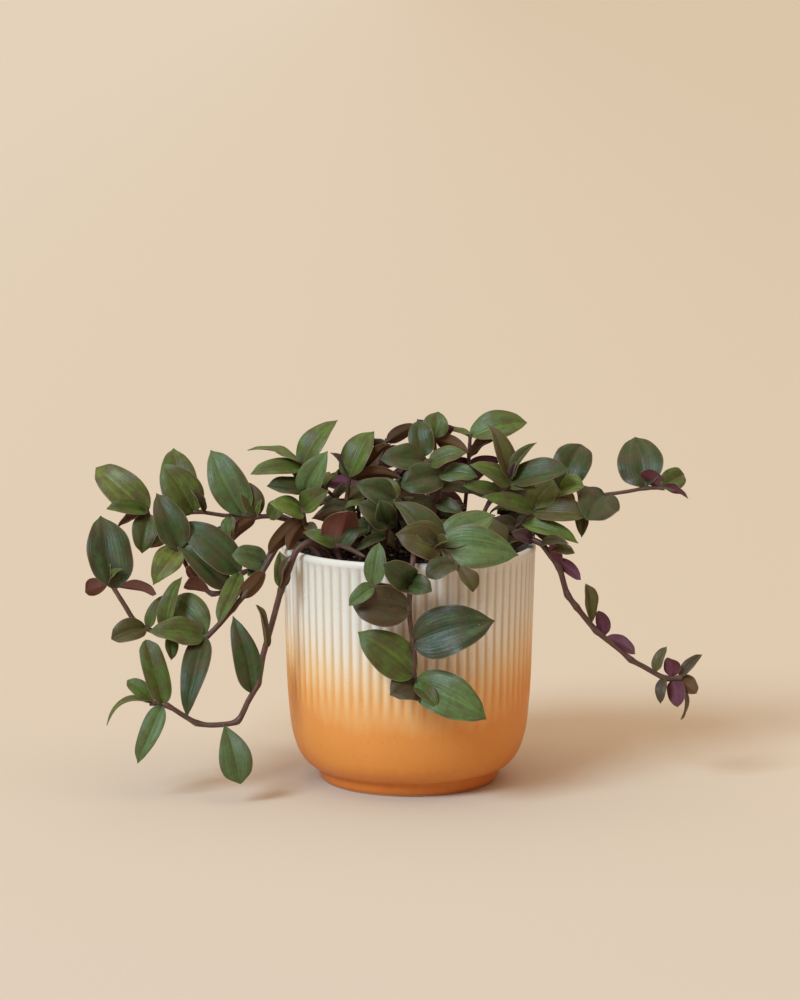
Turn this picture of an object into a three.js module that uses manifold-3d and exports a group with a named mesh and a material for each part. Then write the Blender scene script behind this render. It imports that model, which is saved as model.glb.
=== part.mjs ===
// A potted tradescantia: a ribbed glazed pot filled with potting soil, and leafy stems that
// stand in the soil, some upright and some trailing over the rim.
// Millimetres, +Z up. The origin is the centre of the pot's flat foot, and +X is the plant's
// right as its front is seen.

import * as THREE from 'three';
import { mergeVertices } from 'three/addons/utils/BufferGeometryUtils.js';
import Module from 'manifold-3d';

const manifold = await Module();
manifold.setup();

// ---------------------------------------------------------------- driving dimensions

const POT_HEIGHT = 120;
const RIM_RADIUS = 63.5;
const FOOT_RADIUS = 43.5;
const WALL = 4;
const RIB_COUNT = 72;
const GROOVE_DEPTH = 0.85;
const RIBS_TOP = 116;
const RIBS_BOTTOM = 40;
const RIBS_FADE = 14;

const LIP_FOOT = 117;         // where the inner wall starts to widen towards the lip
const INNER_FLOOR = 7;        // height of the inside floor
const INNER_FLOOR_RADIUS = 38;
const INNER_TURN = [50, 14];  // radius and height halfway round the inside corner
const INNER_WALL_FOOT = 24;   // height where the inside corner ends
const INNER_TAPER = 3.5;      // how much narrower the inner wall is at its foot than at the rim

const SOIL_LEVEL = 112;
const SOIL_LUMP = 1.3;
const SOIL_GAP = 0.3;
const SOIL_RINGS = [0.79, 0.58, 0.34, 0];   // radii of the surface's rings, as shares of its own

const STEM_FOOT = 95;         // height of the cut foot of each stem, in its hole in the soil
const STEM_SIDES = 5;
const STEM_TAPER = 0.75;      // radius at the growing end, as a share of the radius at the foot
const KNOT_SWELL = 1.35;      // how much thicker a stem is where leaves grow
const HOLE_GAP = 0.35;
const END_INSET = 1.2;        // least distance from a stem's growing end to where a leaf grows

const BLADE = 0.7;            // thickness of a leaf
const BROAD_LEAF = 17;        // width from which a leaf gets the finer outline
const FOLDED_LEAF = 15;       // width from which a leaf is folded along its midrib
const ROLLED_FOLD = 30;       // degrees from which a smaller leaf is folded too
const ROOT_START = 0.35;      // distance from a stem's axis to a blade's start, in stem radii
const CLEARANCE = 0.3;        // least gap between a leaf and another plant stem, the pot or the soil
const DODGE_STEP = 3;         // a leaf that would cross something is bent by whole steps of this
const DODGE_LIMIT = 10;
const TIDY = 0.05;            // edges and slivers smaller than this are merged after joining

// The front view from which leaf places are given: an eye far in front and a little above.
const EYE = new THREE.Vector3(-4.5, -1718, 412);

// ---------------------------------------------------------------- colours

const CREAM = 0xe1dccf;
const PEAT = 0x3a2a20;
const LEAF_GREEN = 0x4f6f48;

const materials = {
  pot: () => new THREE.MeshStandardMaterial({ color: CREAM, roughness: 0.45, metalness: 0 }),
  soil: () => new THREE.MeshStandardMaterial({ color: PEAT, roughness: 0.95, metalness: 0 }),
  plant: () => new THREE.MeshStandardMaterial({ color: LEAF_GREEN, roughness: 0.6, metalness: 0 }),
};

// ---------------------------------------------------------------- places

/**
 * A point that the front view shows `right` and `up` millimetres from the foot's centre,
 * measured on the upright plane through the pot's axis, and that lies `back` behind that plane.
 */
function seen(right, up, back) {
  const reach = (back - EYE.y) / -EYE.y;
  return new THREE.Vector3(
    EYE.x + (right - EYE.x) * reach,
    back,
    EYE.z + (up - EYE.z) * reach,
  );
}

// ---------------------------------------------------------------- solids

/** Turns a closed geometry into a solid for cutting and joining. */
function solidOf(geometry) {
  const bare = geometry.index ? geometry.clone() : geometry;
  bare.deleteAttribute('normal');
  bare.deleteAttribute('uv');
  const welded = mergeVertices(bare, 1e-4);
  return new manifold.Manifold(new manifold.Mesh({
    numProp: 3,
    vertProperties: new Float32Array(welded.attributes.position.array),
    triVerts: new Uint32Array(welded.index.array),
  }));
}

/** A joined solid without the small hollows that joining can seal inside it. */
function withoutHollows(solid) {
  return solid.decompose().reduce((largest, body) => (body.volume() > largest.volume() ? body : largest));
}

/** Turns a solid back into a geometry. */
function geometryOf(solid) {
  const mesh = solid.getMesh();
  const geometry = new THREE.BufferGeometry();
  geometry.setAttribute('position', new THREE.BufferAttribute(new Float32Array(mesh.vertProperties), 3));
  geometry.setIndex(new THREE.BufferAttribute(new Uint32Array(mesh.triVerts), 1));
  geometry.computeVertexNormals();
  return geometry;
}

/** A geometry from a list of points and a list of triangles. */
function facets(points, triangles) {
  const geometry = new THREE.BufferGeometry();
  geometry.setAttribute('position', new THREE.Float32BufferAttribute(points.flatMap((p) => p.toArray()), 3));
  geometry.setIndex(triangles.flat());
  return geometry;
}

/** A LatheGeometry about +Z from [radius, height] pairs that start and end on the axis. */
function turned(profile, segments) {
  const lathe = new THREE.LatheGeometry(profile.map(([r, z]) => new THREE.Vector2(r, z)), segments);
  return lathe.rotateX(Math.PI / 2);
}

// ---------------------------------------------------------------- pot and soil

const outerProfile = [
  [0, 0], [FOOT_RADIUS, 0], [45, 2.5], [45.5, 6.5], [50, 8.6], [54.6, 13.7], [58.4, 23.8],
  [60.5, RIBS_BOTTOM], [61.4, RIBS_BOTTOM + RIBS_FADE], [63.2, RIBS_TOP],
  [RIM_RADIUS, RIBS_TOP + 1.4], [RIM_RADIUS - 0.6, POT_HEIGHT - 0.5], [RIM_RADIUS - 1.6, POT_HEIGHT],
  [0, POT_HEIGHT],
];

/** Radius of the wall's inner face at a height between INNER_WALL_FOOT and the rim. */
function innerRadius(height) {
  const share = (height - INNER_WALL_FOOT) / (POT_HEIGHT - INNER_WALL_FOOT);
  return RIM_RADIUS - WALL - INNER_TAPER * (1 - share);
}

/** Sinks every second upright line of the wall, which leaves a rib between each two grooves. */
function groove(geometry) {
  const position = geometry.attributes.position;
  const half = Math.PI / RIB_COUNT;
  for (let i = 0; i < position.count; i += 1) {
    const x = position.getX(i);
    const y = position.getY(i);
    const z = position.getZ(i);
    const step = Math.round(Math.atan2(y, x) / half);
    if (Math.abs(step) % 2 === 0 || Math.hypot(x, y) < FOOT_RADIUS / 2) continue;
    const depth = z > RIBS_BOTTOM + 1 && z < RIBS_TOP + 1 ? GROOVE_DEPTH : 0;
    const radius = Math.hypot(x, y);
    const kept = (radius * Math.cos(half) - depth) / radius;
    position.setXY(i, x * kept, y * kept);
  }
  return geometry;
}

function makePot() {
  const outside = solidOf(groove(turned(outerProfile, RIB_COUNT * 2)));
  const inside = solidOf(turned([
    [0, INNER_FLOOR], [INNER_FLOOR_RADIUS, INNER_FLOOR], INNER_TURN,
    [innerRadius(INNER_WALL_FOOT), INNER_WALL_FOOT], [innerRadius(LIP_FOOT), LIP_FOOT],
    [RIM_RADIUS - WALL + 1, POT_HEIGHT + 1], [0, POT_HEIGHT + 1],
  ], RIB_COUNT / 3));
  return outside.subtract(inside).simplify(TIDY);
}

/** Height of the uneven soil surface above SOIL_LEVEL. */
function soilLump(x, y) {
  const broad = Math.sin(x * 0.11 + 1.3) * Math.cos(y * 0.09 - 0.6);
  const small = Math.sin(x * 0.37 + y * 0.21) * Math.cos(y * 0.33 - x * 0.12);
  return SOIL_LUMP * (0.6 * broad + 0.5 * small);
}

function makeSoil() {
  const [turnRadius, turnHeight] = INNER_TURN;
  const edge = innerRadius(SOIL_LEVEL) - 2 * SOIL_GAP;
  const soil = turned([
    [0, INNER_FLOOR + SOIL_GAP], [INNER_FLOOR_RADIUS - SOIL_GAP, INNER_FLOOR + SOIL_GAP],
    [turnRadius - 2 * SOIL_GAP, turnHeight + SOIL_GAP],
    [innerRadius(INNER_WALL_FOOT) - 2 * SOIL_GAP, INNER_WALL_FOOT], [edge, SOIL_LEVEL],
    ...SOIL_RINGS.map((share) => [edge * share, SOIL_LEVEL]),
  ], RIB_COUNT / 3);
  const position = soil.attributes.position;
  for (let i = 0; i < position.count; i += 1) {
    if (position.getZ(i) < SOIL_LEVEL - SOIL_GAP) continue;
    position.setZ(i, SOIL_LEVEL + soilLump(position.getX(i), position.getY(i)));
  }
  return solidOf(soil);
}

/** A plain round hole for the foot of a stem. */
function stemHole(stem) {
  const radius = (stem.radius + HOLE_GAP) / Math.cos(Math.PI / STEM_SIDES);
  const depth = SOIL_LEVEL + 5 * SOIL_LUMP - STEM_FOOT;
  const [x, y] = stem.root;
  const hole = new THREE.CylinderGeometry(radius, radius, depth, STEM_SIDES).rotateX(Math.PI / 2);
  return solidOf(hole.translate(x, y, STEM_FOOT - HOLE_GAP + depth / 2));
}

// ---------------------------------------------------------------- stems

/** A closed tube of STEM_SIDES sides through the points, thicker where a point is a knot. */
function tube(knots) {
  const points = [];
  const triangles = [];
  const last = knots.length - 1;
  let outward = new THREE.Vector3(1, 0, 0);
  knots.forEach(({ place, radius }, i) => {
    const before = knots[Math.max(0, i - 1)].place;
    const after = knots[Math.min(last, i + 1)].place;
    const along = after.clone().sub(before).normalize();
    outward = outward.clone().addScaledVector(along, -outward.dot(along)).normalize();
    for (let side = 0; side < STEM_SIDES; side += 1) {
      const turn = (2 * Math.PI * side) / STEM_SIDES;
      points.push(outward.clone().applyAxisAngle(along, turn).multiplyScalar(radius).add(place));
    }
  });
  for (let i = 0; i < last; i += 1) {
    for (let side = 0; side < STEM_SIDES; side += 1) {
      const next = (side + 1) % STEM_SIDES;
      const a = i * STEM_SIDES + side;
      const b = i * STEM_SIDES + next;
      triangles.push([a, b, b + STEM_SIDES], [a, b + STEM_SIDES, a + STEM_SIDES]);
    }
  }
  for (let side = 1; side < STEM_SIDES - 1; side += 1) {
    const top = last * STEM_SIDES;
    triangles.push([0, side + 1, side], [top, top + side, top + side + 1]);
  }
  return facets(points, triangles);
}

/** Places and radii along a stem, from its foot in the soil to its growing end. */
function stemKnots(stem) {
  const [x, y] = stem.root;
  const foot = [new THREE.Vector3(x, y, STEM_FOOT), new THREE.Vector3(x, y, SOIL_LEVEL + 2)];
  const run = [...foot.map((place) => ({ place })), ...stem.path.map(([right, up, back, knot]) => (
    { place: seen(right, up, back), knot }))];
  return run.map(({ place, knot }, i) => {
    const slim = 1 - (1 - STEM_TAPER) * (i / (run.length - 1));
    return { place, radius: stem.radius * slim * (knot ? KNOT_SWELL : 1) };
  });
}

function branchKnots(stem, branch) {
  return branch.map(([right, up, back, knot]) => (
    { place: seen(right, up, back), radius: stem.radius * STEM_TAPER * (knot ? KNOT_SWELL : 1) }));
}

// ---------------------------------------------------------------- leaves

// Places along a blade and its half width there, as shares of its length and half width.
const broadOutline = { stations: [0, 0.13, 0.36, 0.7, 1], halves: [0.16, 0.66, 1, 0.7, 0] };
const slimOutline = { stations: [0, 0.25, 0.63, 1], halves: [0.16, 0.92, 0.84, 0] };

/**
 * The point on a stem's axis that the front view shows nearest to (right, up), at least
 * END_INSET before the growing end.
 */
function leafRoot(stem, right, up) {
  let best = null;
  for (const run of [stem.path, ...(stem.branches ?? [])]) {
    for (let i = 0; i + 1 < run.length; i += 1) {
      const [a, b] = [run[i], run[i + 1]];
      const span = (b[0] - a[0]) ** 2 + (b[1] - a[1]) ** 2;
      const furthest = i + 2 === run.length ? 1 - END_INSET / Math.sqrt(span) : 1;
      const share = THREE.MathUtils.clamp(
        ((right - a[0]) * (b[0] - a[0]) + (up - a[1]) * (b[1] - a[1])) / span, 0, furthest);
      const at = [0, 1, 2].map((k) => a[k] + (b[k] - a[k]) * share);
      const miss = Math.hypot(right - at[0], up - at[1]);
      if (!best || miss < best.miss) best = { miss, at, start: seen(...a), end: seen(...b), share };
    }
  }
  return { at: best.at, place: best.start.lerp(best.end, best.share) };
}

/**
 * The frame of a leaf whose tip is bent back by `dodge`: its root and tip, the direction that
 * its upper face looks in, and the direction across it.
 */
function leafFrame(stem, leaf, dodge) {
  const [rootRight, rootUp, tipRight, tipUp, back, , turn] = leaf;
  const root = leafRoot(stem, rootRight, rootUp);
  const tip = seen(tipRight, tipUp, root.at[2] + back + dodge);
  const along = tip.clone().sub(root.place).normalize();
  const toEye = EYE.clone().sub(root.place).normalize();
  const skyward = along.x <= 0 ? 1 : -1;
  const face = toEye.addScaledVector(along, -toEye.dot(along)).normalize();
  face.applyAxisAngle(along, THREE.MathUtils.degToRad(turn) * skyward);
  return { root: root.place, tip, along, face, across: new THREE.Vector3().crossVectors(face, along) };
}

/**
 * A closed leaf blade: pointed and arched along its length. A wide or rolled leaf is folded
 * along its midrib, and a small open one is flat across.
 */
function blade(stem, leaf, dodge, grow) {
  const [, , , , , width, , arch, fold] = leaf;
  const { root, tip, face, across } = leafFrame(stem, leaf, dodge);
  const { stations, halves } = width < BROAD_LEAF ? slimOutline : broadOutline;
  const folded = width >= FOLDED_LEAF || fold >= ROLLED_FOLD;
  const sides = folded ? [-1, 0, 1] : [-1, 1];
  const tilt = folded ? THREE.MathUtils.degToRad(fold) : 0;
  const length = root.distanceTo(tip);
  root.lerp(tip, (ROOT_START * stem.radius) / length);
  const straight = tip.clone().sub(root).normalize();
  const half = BLADE / 2 + grow;
  const points = [];
  stations.forEach((t, i) => {
    const middle = root.clone().lerp(tip, t).addScaledVector(face, arch * length * 4 * t * (1 - t));
    const along = straight.clone().addScaledVector(face, arch * 4 * (1 - 2 * t)).normalize();
    const up = new THREE.Vector3().crossVectors(along, across).normalize();
    const reach = (width / 2) * halves[i] + grow;
    for (const level of [1, -1]) {
      for (const side of i === stations.length - 1 ? [0] : sides) {
        const outward = across.clone().multiplyScalar(side * Math.cos(tilt))
          .addScaledVector(up, Math.abs(side) * Math.sin(tilt));
        const thick = up.clone().multiplyScalar(side === 0 ? 1 / Math.cos(tilt) : Math.cos(tilt))
          .addScaledVector(across, -side * Math.sin(tilt));
        points.push(middle.clone().addScaledVector(outward, reach).addScaledVector(thick, level * half));
      }
    }
  });
  return facets(points, bladeTriangles(stations.length, sides.length));
}

/**
 * Triangles of a blade with `n` points across each face at every station but the last, which
 * is the tip. Both faces are split alike.
 */
function bladeTriangles(stationCount, n) {
  const triangles = [];
  const row = 2 * n;
  const tipTop = (stationCount - 1) * row;
  const tipUnder = tipTop + 1;
  for (let j = 0; j + 1 < n; j += 1) {
    triangles.push([j, j + 1, n + j + 1], [j, n + j + 1, n + j]);
  }
  for (let a = 0; a + row < tipTop; a += row) {
    const b = a + row;
    for (let j = 0; j + 1 < n; j += 1) {
      triangles.push([a + j, b + j, b + j + 1], [a + j, b + j + 1, a + j + 1]);
      triangles.push([a + n + j, b + n + j + 1, b + n + j], [a + n + j, a + n + j + 1, b + n + j + 1]);
    }
    triangles.push([a, a + n, b + n], [a, b + n, b]);
    triangles.push([a + n - 1, b + row - 1, a + row - 1], [a + n - 1, b + n - 1, b + row - 1]);
  }
  const a = tipTop - row;
  for (let j = 0; j + 1 < n; j += 1) {
    triangles.push([a + j, tipTop, a + j + 1], [a + n + j, a + n + j + 1, tipUnder]);
  }
  triangles.push([a, a + n, tipUnder], [a, tipUnder, tipTop]);
  triangles.push([a + n - 1, tipUnder, a + row - 1], [a + n - 1, tipTop, tipUnder]);
  return triangles;
}

// ---------------------------------------------------------------- the plant
//
// Each stem: the radius at its foot, the place of its foot in the soil, its path as
// [right, up, back, knot] and its leaves as
// [root right, root up, tip right, tip up, tip back, width, turn, arch, fold].
// `turn` is 0 where the upper face looks at the viewer, 90 where it looks up and 180 where
// the leaf shows its underside. `tip back` counts from the leaf's root.

const stems = [
  {
    name: 'stem_left_low', radius: 1.65, root: [-38, -26],
    path: [[-50, 120, -36], [-56, 116, -38], [-60.5, 105, -39], [-64, 96, -39, 1], [-68.5, 79.6, -40],
      [-73.5, 61.7, -43], [-76, 47.9, -45, 1], [-81, 38.8, -46], [-86.5, 28.5, -47, 1],
      [-100.5, 26.5, -47], [-107, 27.5, -46, 1], [-114.5, 32, -45], [-122, 36.7, -44, 1],
      [-130, 38, -43, 1]],
    leaves: [
      [-64, 96, -64.5, 115.5, 6, 9.5, 15, 0.1, 20], [-64, 96, -59.5, 113.5, -4, 8, 60, 0.05, 40],
      [-72.5, 66, -75.5, 88.5, -5, 7.5, 60, 0.05, 50], [-79, 43, -89, 82.5, 8, 13.5, 10, 0.08, 15],
      [-93.5, 27.5, -85.5, -4, -13, 17.5, 10, 0.12, 15], [-124, 36.8, -132, 70.5, 8, 13.5, 15, 0.06, 18],
      [-130, 38, -142, 49.5, 4, 9, 20, 0.1, 20], [-130, 38, -152.5, 26.5, -5, 11, 75, 0.25, 15],
      [-124, 36.5, -138, 7, -8, 12, 15, 0.08, 18],
    ],
  },
  {
    name: 'stem_left_middle', radius: 1.55, root: [-44, -14],
    path: [[-52, 121, -14], [-62, 122, -18], [-73.5, 105.1, -24], [-82, 93.8, -27],
      [-88.5, 86.2, -28, 1], [-102, 71.9, -30, 1], [-112, 70, -29], [-122, 73.4, -28, 1],
      [-130.5, 75.5, -26], [-137.5, 79.6, -25, 1], [-142.5, 87.7, -24], [-147.5, 95.9, -22],
      [-150.5, 100.5, -21, 1]],
    leaves: [
      [-147.5, 96, -153, 134, 16, 24.5, 10, 0.1, 12], [-150.5, 100.5, -149.5, 110, 1, 5, 30, 0.02, 50],
      [-150.5, 100.5, -162.5, 95, -3, 9.5, 160, 0.1, 20], [-150, 100, -143.5, 106.5, -5, 7, 60, 0.1, 30],
      [-148, 97, -126.5, 93.5, -6, 9.5, 125, 0.08, 20], [-132, 76, -149.5, 70.5, -7, 14, 20, 0.12, 30],
      [-131, 75.5, -122, 93.5, 5, 8, 30, 0.1, 25], [-122, 73.5, -114, 102.5, 7, 11, 30, 0.15, 35],
      [-102, 72, -120.5, 91, 14, 22.5, 10, 0.1, 12], [-103, 71, -130.5, 74.5, -8, 16, 25, 0.1, 20],
      [-103, 71, -113, 30.5, -24, 15, 15, 0.1, 15], [-120, 73, -119, 60, -5, 7, 20, 0.1, 20],
      [-84.5, 91, -72.5, 106, -8, 9.5, 170, 0.1, 15],
    ],
  },
  {
    name: 'stem_left_high', radius: 1.45, root: [-46, -3],
    path: [[-54, 124, -5], [-64, 123, -8], [-73.5, 108, -11], [-84.5, 104, -13, 1],
      [-90.5, 95.9, -14, 1], [-98.5, 93.8, -15, 1], [-106.5, 100, -15, 1], [-112.5, 110.2, -14],
      [-115.5, 117.3, -13, 1]],
    leaves: [
      [-84.5, 104, -114.5, 130, 8, 18, 15, 0.1, 12], [-90.5, 96, -117, 120.5, 3, 15, 20, 0.1, 15],
      [-115.5, 117, -129, 99, -8, 16, 20, 0.12, 18], [-106, 100, -111, 108.5, -5, 6, 170, 0.1, 20],
      [-98.5, 94, -112.5, 99, -8, 9.5, 150, 0.1, 25], [-115.5, 117, -126, 145, 10, 17.5, 15, 0.1, 15],
      [-73.5, 110, -88.5, 114, -6, 14.5, 25, 0.1, 15], [-76, 106.5, -81, 103, -6, 6, 20, 0.1, 20],
      [-72, 110, -76, 105, -6, 5.5, 30, 0.1, 20], [-84.5, 104, -96.5, 78.5, -22, 11, 20, 0.1, 20],
    ],
  },
  {
    name: 'stem_left_top', radius: 1.3, root: [-40, 8],
    path: [[-48, 124, 6], [-60, 131, 5], [-69.5, 133.1, 6], [-75.5, 133.1, 5, 1], [-82.5, 133.6, 5, 1],
      [-92, 133.6, 5], [-106, 135.5, 4, 1], [-115, 133.8, 4, 1]],
    leaves: [
      [-115, 133.5, -117.5, 168, 16, 19, 5, 0.1, 12], [-107.5, 135.4, -123.5, 159.5, -7, 20.5, 10, 0.1, 12],
      [-103, 135, -108.5, 146.5, -5, 8, 40, 0.05, 50], [-82.5, 133.5, -98, 167, 10, 20.5, 5, 0.1, 12],
      [-75.5, 133, -83, 151, 5, 12, 15, 0.1, 18], [-75.5, 133, -73.5, 142, 0, 4.5, 30, 0.02, 50],
      [-89, 133.5, -90.5, 120.5, -5, 8, 20, 0.1, 20], [-76, 133, -89, 120, -9, 9, 150, 0.12, 20],
      [-70, 133, -59, 141.5, -5, 10, 20, 0.12, 18],
    ],
  },
  {
    name: 'stem_left_far', radius: 1.25, root: [-34, 20],
    path: [[-48, 126, 18], [-66, 134, 17], [-82, 131, 16, 1], [-104.5, 124.4, 17], [-122, 122.9, 17, 1],
      [-128.5, 130.6, 18], [-131, 136.2, 18, 1]],
    leaves: [
      [-131, 136, -156, 158.5, 10, 19.5, 10, 0.1, 12], [-131, 136, -151, 137.5, -6, 11, 30, 0.1, 35],
      [-131, 135, -146.5, 127, -7, 8.5, 120, 0.1, 20], [-130, 134, -134, 114.5, -9, 14.5, 10, 0.1, 18],
      [-123, 123, -134.5, 116, -6, 5.5, 30, 0.1, 20], [-122, 123, -131, 117.5, 5, 7, 170, 0.1, 20],
      [-82, 131, -94, 148, 12, 13, 150, 0.1, 15], [-100, 125.5, -112, 112, 9, 12, 140, 0.12, 15],
    ],
  },
  {
    name: 'stem_crown_left', radius: 1.4, root: [-40, -14],
    path: [[-50, 124, -17], [-53, 133.6, -17, 1], [-52, 145.9, -15, 1], [-53, 159.1, -12, 1]],
    leaves: [
      [-53, 159, -35.5, 181.5, 8, 15.5, 38, 0.15, 15], [-53, 159, -80.5, 166.5, 4, 14, 75, 0.12, 15],
      [-53, 157, -79, 155.5, -7, 11, 40, 0.1, 18], [-52, 146, -71, 149, -3, 12, 38, 0.1, 18],
      [-52.5, 150, -61, 160.5, 8, 6, 20, 0.1, 25], [-51.5, 144.5, -40.5, 166, -6, 15.5, 15, 0.08, 20],
      [-53, 137, -40.5, 146.5, -7, 13, 25, 0.1, 30], [-53, 134, -69.5, 139.5, -8, 12.5, 38, 0.1, 15],
      [-53, 133, -71.5, 114, -7, 9, 165, 0.1, 18], [-52.5, 131, -60.5, 115.5, -11, 8.5, 165, 0.1, 20],
      [-51.5, 129, -45.5, 124.5, -7, 6, 20, 0.1, 20],
    ],
  },
  {
    name: 'stem_crown_left_middle', radius: 1.25, root: [-24, -8],
    path: [[-28, 126, -10], [-31, 142, -11, 1], [-29.5, 153.5, -10, 1]],
    leaves: [
      [-29.5, 153.5, -18.5, 176.5, 8, 16.5, 38, 0.12, 15], [-29.5, 153.5, -39, 165.5, 4, 8.5, 45, 0.1, 30],
      [-29.5, 153, -9.5, 171, -3, 9, 145, 0.1, 20], [-29.5, 152, -3.5, 152.5, -6, 9, 140, 0.1, 20],
      [-31, 142, -14, 151.5, -9, 9, 170, 0.1, 18], [-28.5, 129, -14, 121, -8, 12, 50, 0.15, 12],
      [-28.6, 129, -44, 121, -8, 12, 50, 0.15, 12], [-30, 137, -46, 134, 6, 12, 60, 0.15, 12],
    ],
  },
  {
    name: 'stem_crown_middle', radius: 1.25, root: [-14, -26],
    path: [[-12, 120, -28], [-10.5, 129, -31, 1], [-7, 142, -26, 1]],
    leaves: [
      [-7, 142, -26.5, 149, -4, 15, 25, 0.1, 15], [-7, 142, -13, 153, 5, 10.5, 10, 0.1, 18],
      [-10.5, 129, -25.5, 139.5, -5, 15, 25, 0.1, 15], [-10.5, 129, -14, 141.5, -7, 12.5, 10, 0.1, 15],
      [-11.5, 123, -26.5, 115, -9, 6, 30, 0.1, 20],
    ],
  },
  {
    name: 'stem_front_middle', radius: 1.4, root: [13, -44],
    path: [[15, 114, -50], [16, 119, -56, 1]],
    branches: [[[16, 117, -55], [20, 113, -61], [24.5, 107.6, -67, 1]]],
    leaves: [
      [16, 119, -7, 141.5, 8, 18.5, 38, 0.1, 12], [16, 119, -6.5, 123.5, -7, 19, 15, 0.12, 15],
      [16, 119, 55, 113.5, -2, 22.5, 15, 0.12, 12], [15.5, 117.5, 43, 134, 12, 18, 30, 0.1, 15],
      [15.5, 118.5, 20, 121.5, -13, 9, 65, 0.1, 45], [24.5, 107.5, 9, 102, -6, 13, 38, 0.12, 20],
      [24.5, 107.5, 32.5, 95, -9, 11, 38, 0.12, 20],
    ],
  },
  {
    name: 'stem_centre', radius: 1.35, root: [9, -12],
    path: [[11, 126, -12], [14, 142, -13, 1], [16, 153.5, -13, 1], [9, 160, -11, 1], [6.5, 164, -9, 1]],
    leaves: [
      [8, 161, -14.5, 162.5, -6, 16, 25, 0.1, 15], [16, 153.5, -4, 147.5, -9, 17, 18, 0.12, 15],
      [16, 153.5, 34, 153, -7, 13, 38, 0.1, 18], [10, 159, 29, 165, -4, 13, 38, 0.1, 18],
      [6.5, 164, 5, 181.5, 8, 14, 5, 0.1, 15], [13.5, 140, 27, 134, -9, 9, 30, 0.1, 20],
      [11.5, 128, -4, 118.5, -8, 12, 50, 0.15, 12], [11.5, 129, 27, 119.5, -8, 12, 50, 0.15, 12],
      [13, 136, -2, 131, 10, 12, 75, 0.15, 12],
    ],
  },
  {
    name: 'stem_centre_top', radius: 1.2, root: [10, 6],
    path: [[12, 128, 5], [14, 152, 5, 1], [12.5, 173.4, 4, 1]],
    leaves: [
      [12.5, 173.5, 14, 186, 4, 13.5, 5, 0.1, 18], [12.5, 173.5, 22.5, 178, 6, 8, 165, 0.1, 20],
      [12.5, 173.5, 4, 182, 7, 8, 165, 0.1, 20], [12.5, 172, 30, 165.5, -6, 9, 160, 0.1, 20],
      [14, 152, 34, 160, 10, 14, 140, 0.12, 15], [14, 150, -4, 158, 9, 14, 145, 0.12, 15],
      [12.2, 131, 28, 122, -4, 13, 50, 0.15, 12], [13, 140, -3, 133, -6, 13, 50, 0.15, 12],
      [13.5, 146, 30, 145, -8, 13, 60, 0.15, 12],
    ],
  },
  {
    name: 'stem_right_top', radius: 1.2, root: [24, 10],
    path: [[27, 130, 10], [29, 150, 11, 1], [30.5, 174.4, 12, 1]],
    leaves: [
      [30.5, 174.5, 58.5, 181, 4, 16.5, 38, 0.12, 15], [30.5, 174, 14.5, 176, -4, 9, 75, 0.1, 20],
      [29, 150, 46, 162, 12, 14, 140, 0.12, 15], [29.5, 162, 42, 172, 8, 11, 120, 0.12, 15],
      [27.2, 132, 44, 123, -6, 13, 50, 0.15, 12], [27.8, 139, 14, 130, -6, 12, 50, 0.15, 12],
      [28.7, 147, 44, 141, -8, 13, 50, 0.15, 12],
    ],
  },
  {
    name: 'stem_crown_right', radius: 1.25, root: [30, -14],
    path: [[34, 126, -14], [40.5, 140.8, -13, 1], [50, 147.4, -12], [51, 152, -11, 1]],
    leaves: [
      [51, 152, 40.5, 180, 8, 14, 38, 0.1, 20], [51, 152, 63.5, 170.5, 3, 11, 35, 0.1, 45],
      [51, 152, 53.5, 161, -3, 6.5, 30, 0.02, 50], [51, 151.5, 80, 157.5, -7, 15.5, 38, 0.1, 15],
      [50, 148, 64, 147, -6, 6, 20, 0.1, 20], [50, 149, 30.5, 160, -7, 13, 38, 0.1, 15],
      [46, 144.5, 26.5, 148.5, -8, 7.5, 20, 0.1, 20], [35, 128, 20, 118.5, -8, 12, 50, 0.15, 12],
      [35.5, 129, 50, 120, -8, 12, 50, 0.15, 12],
    ],
  },
  {
    name: 'stem_right_middle', radius: 1.35, root: [40, -8],
    path: [[48, 124, -9], [58, 131, -9, 1], [62, 135.7, -8, 1], [76.5, 147, -6, 1]],
    leaves: [
      [76.5, 147, 86, 169.5, 14, 20, 5, 0.1, 12], [76.5, 147, 87, 148.5, -7, 13.5, 38, 0.12, 20],
      [62, 136, 76, 151.5, 13, 18.5, 38, 0.1, 15], [62, 136, 36.5, 143, -9, 9.5, 20, 0.1, 18],
      [62, 135, 88.5, 134, -8, 15, 38, 0.1, 15], [56, 129.5, 85, 120.5, -9, 9.5, 35, 0.12, 18],
      [58, 131, 78, 114.5, -11, 7.5, 160, 0.1, 18], [54, 128, 38.5, 129, -9, 10, 30, 0.1, 20],
    ],
  },
  {
    name: 'stem_right_upper', radius: 1.2, root: [36, 6],
    path: [[50, 125, 4], [66, 131, 3], [84, 138.5, 3, 1], [97.5, 143.8, 3, 1], [110.5, 146, 2],
      [118, 147.4, 2, 1], [127, 147.4, 2, 1]],
    leaves: [
      [97.5, 144, 89, 131.5, -22, 22, 5, 0.12, 12], [84, 138, 86, 122.5, -9, 9, 20, 0.1, 20],
      [118, 147.5, 112, 173, 20, 23, 0, 0.1, 10], [127, 147.5, 137, 155, 7, 12, 10, 0.1, 20],
      [126, 147.5, 115.5, 156, -7, 9, 150, 0.1, 25], [127, 147.5, 139.3, 142.5, -7, 9, 120, 0.1, 20],
      [97.5, 144, 92, 138, 24, 15, 140, 0.12, 15], [84, 138.5, 88, 141, 22, 15, 0, 0.15, 12],
    ],
  },
  {
    name: 'stem_right_trailing', radius: 1.65, root: [46, -12],
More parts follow.
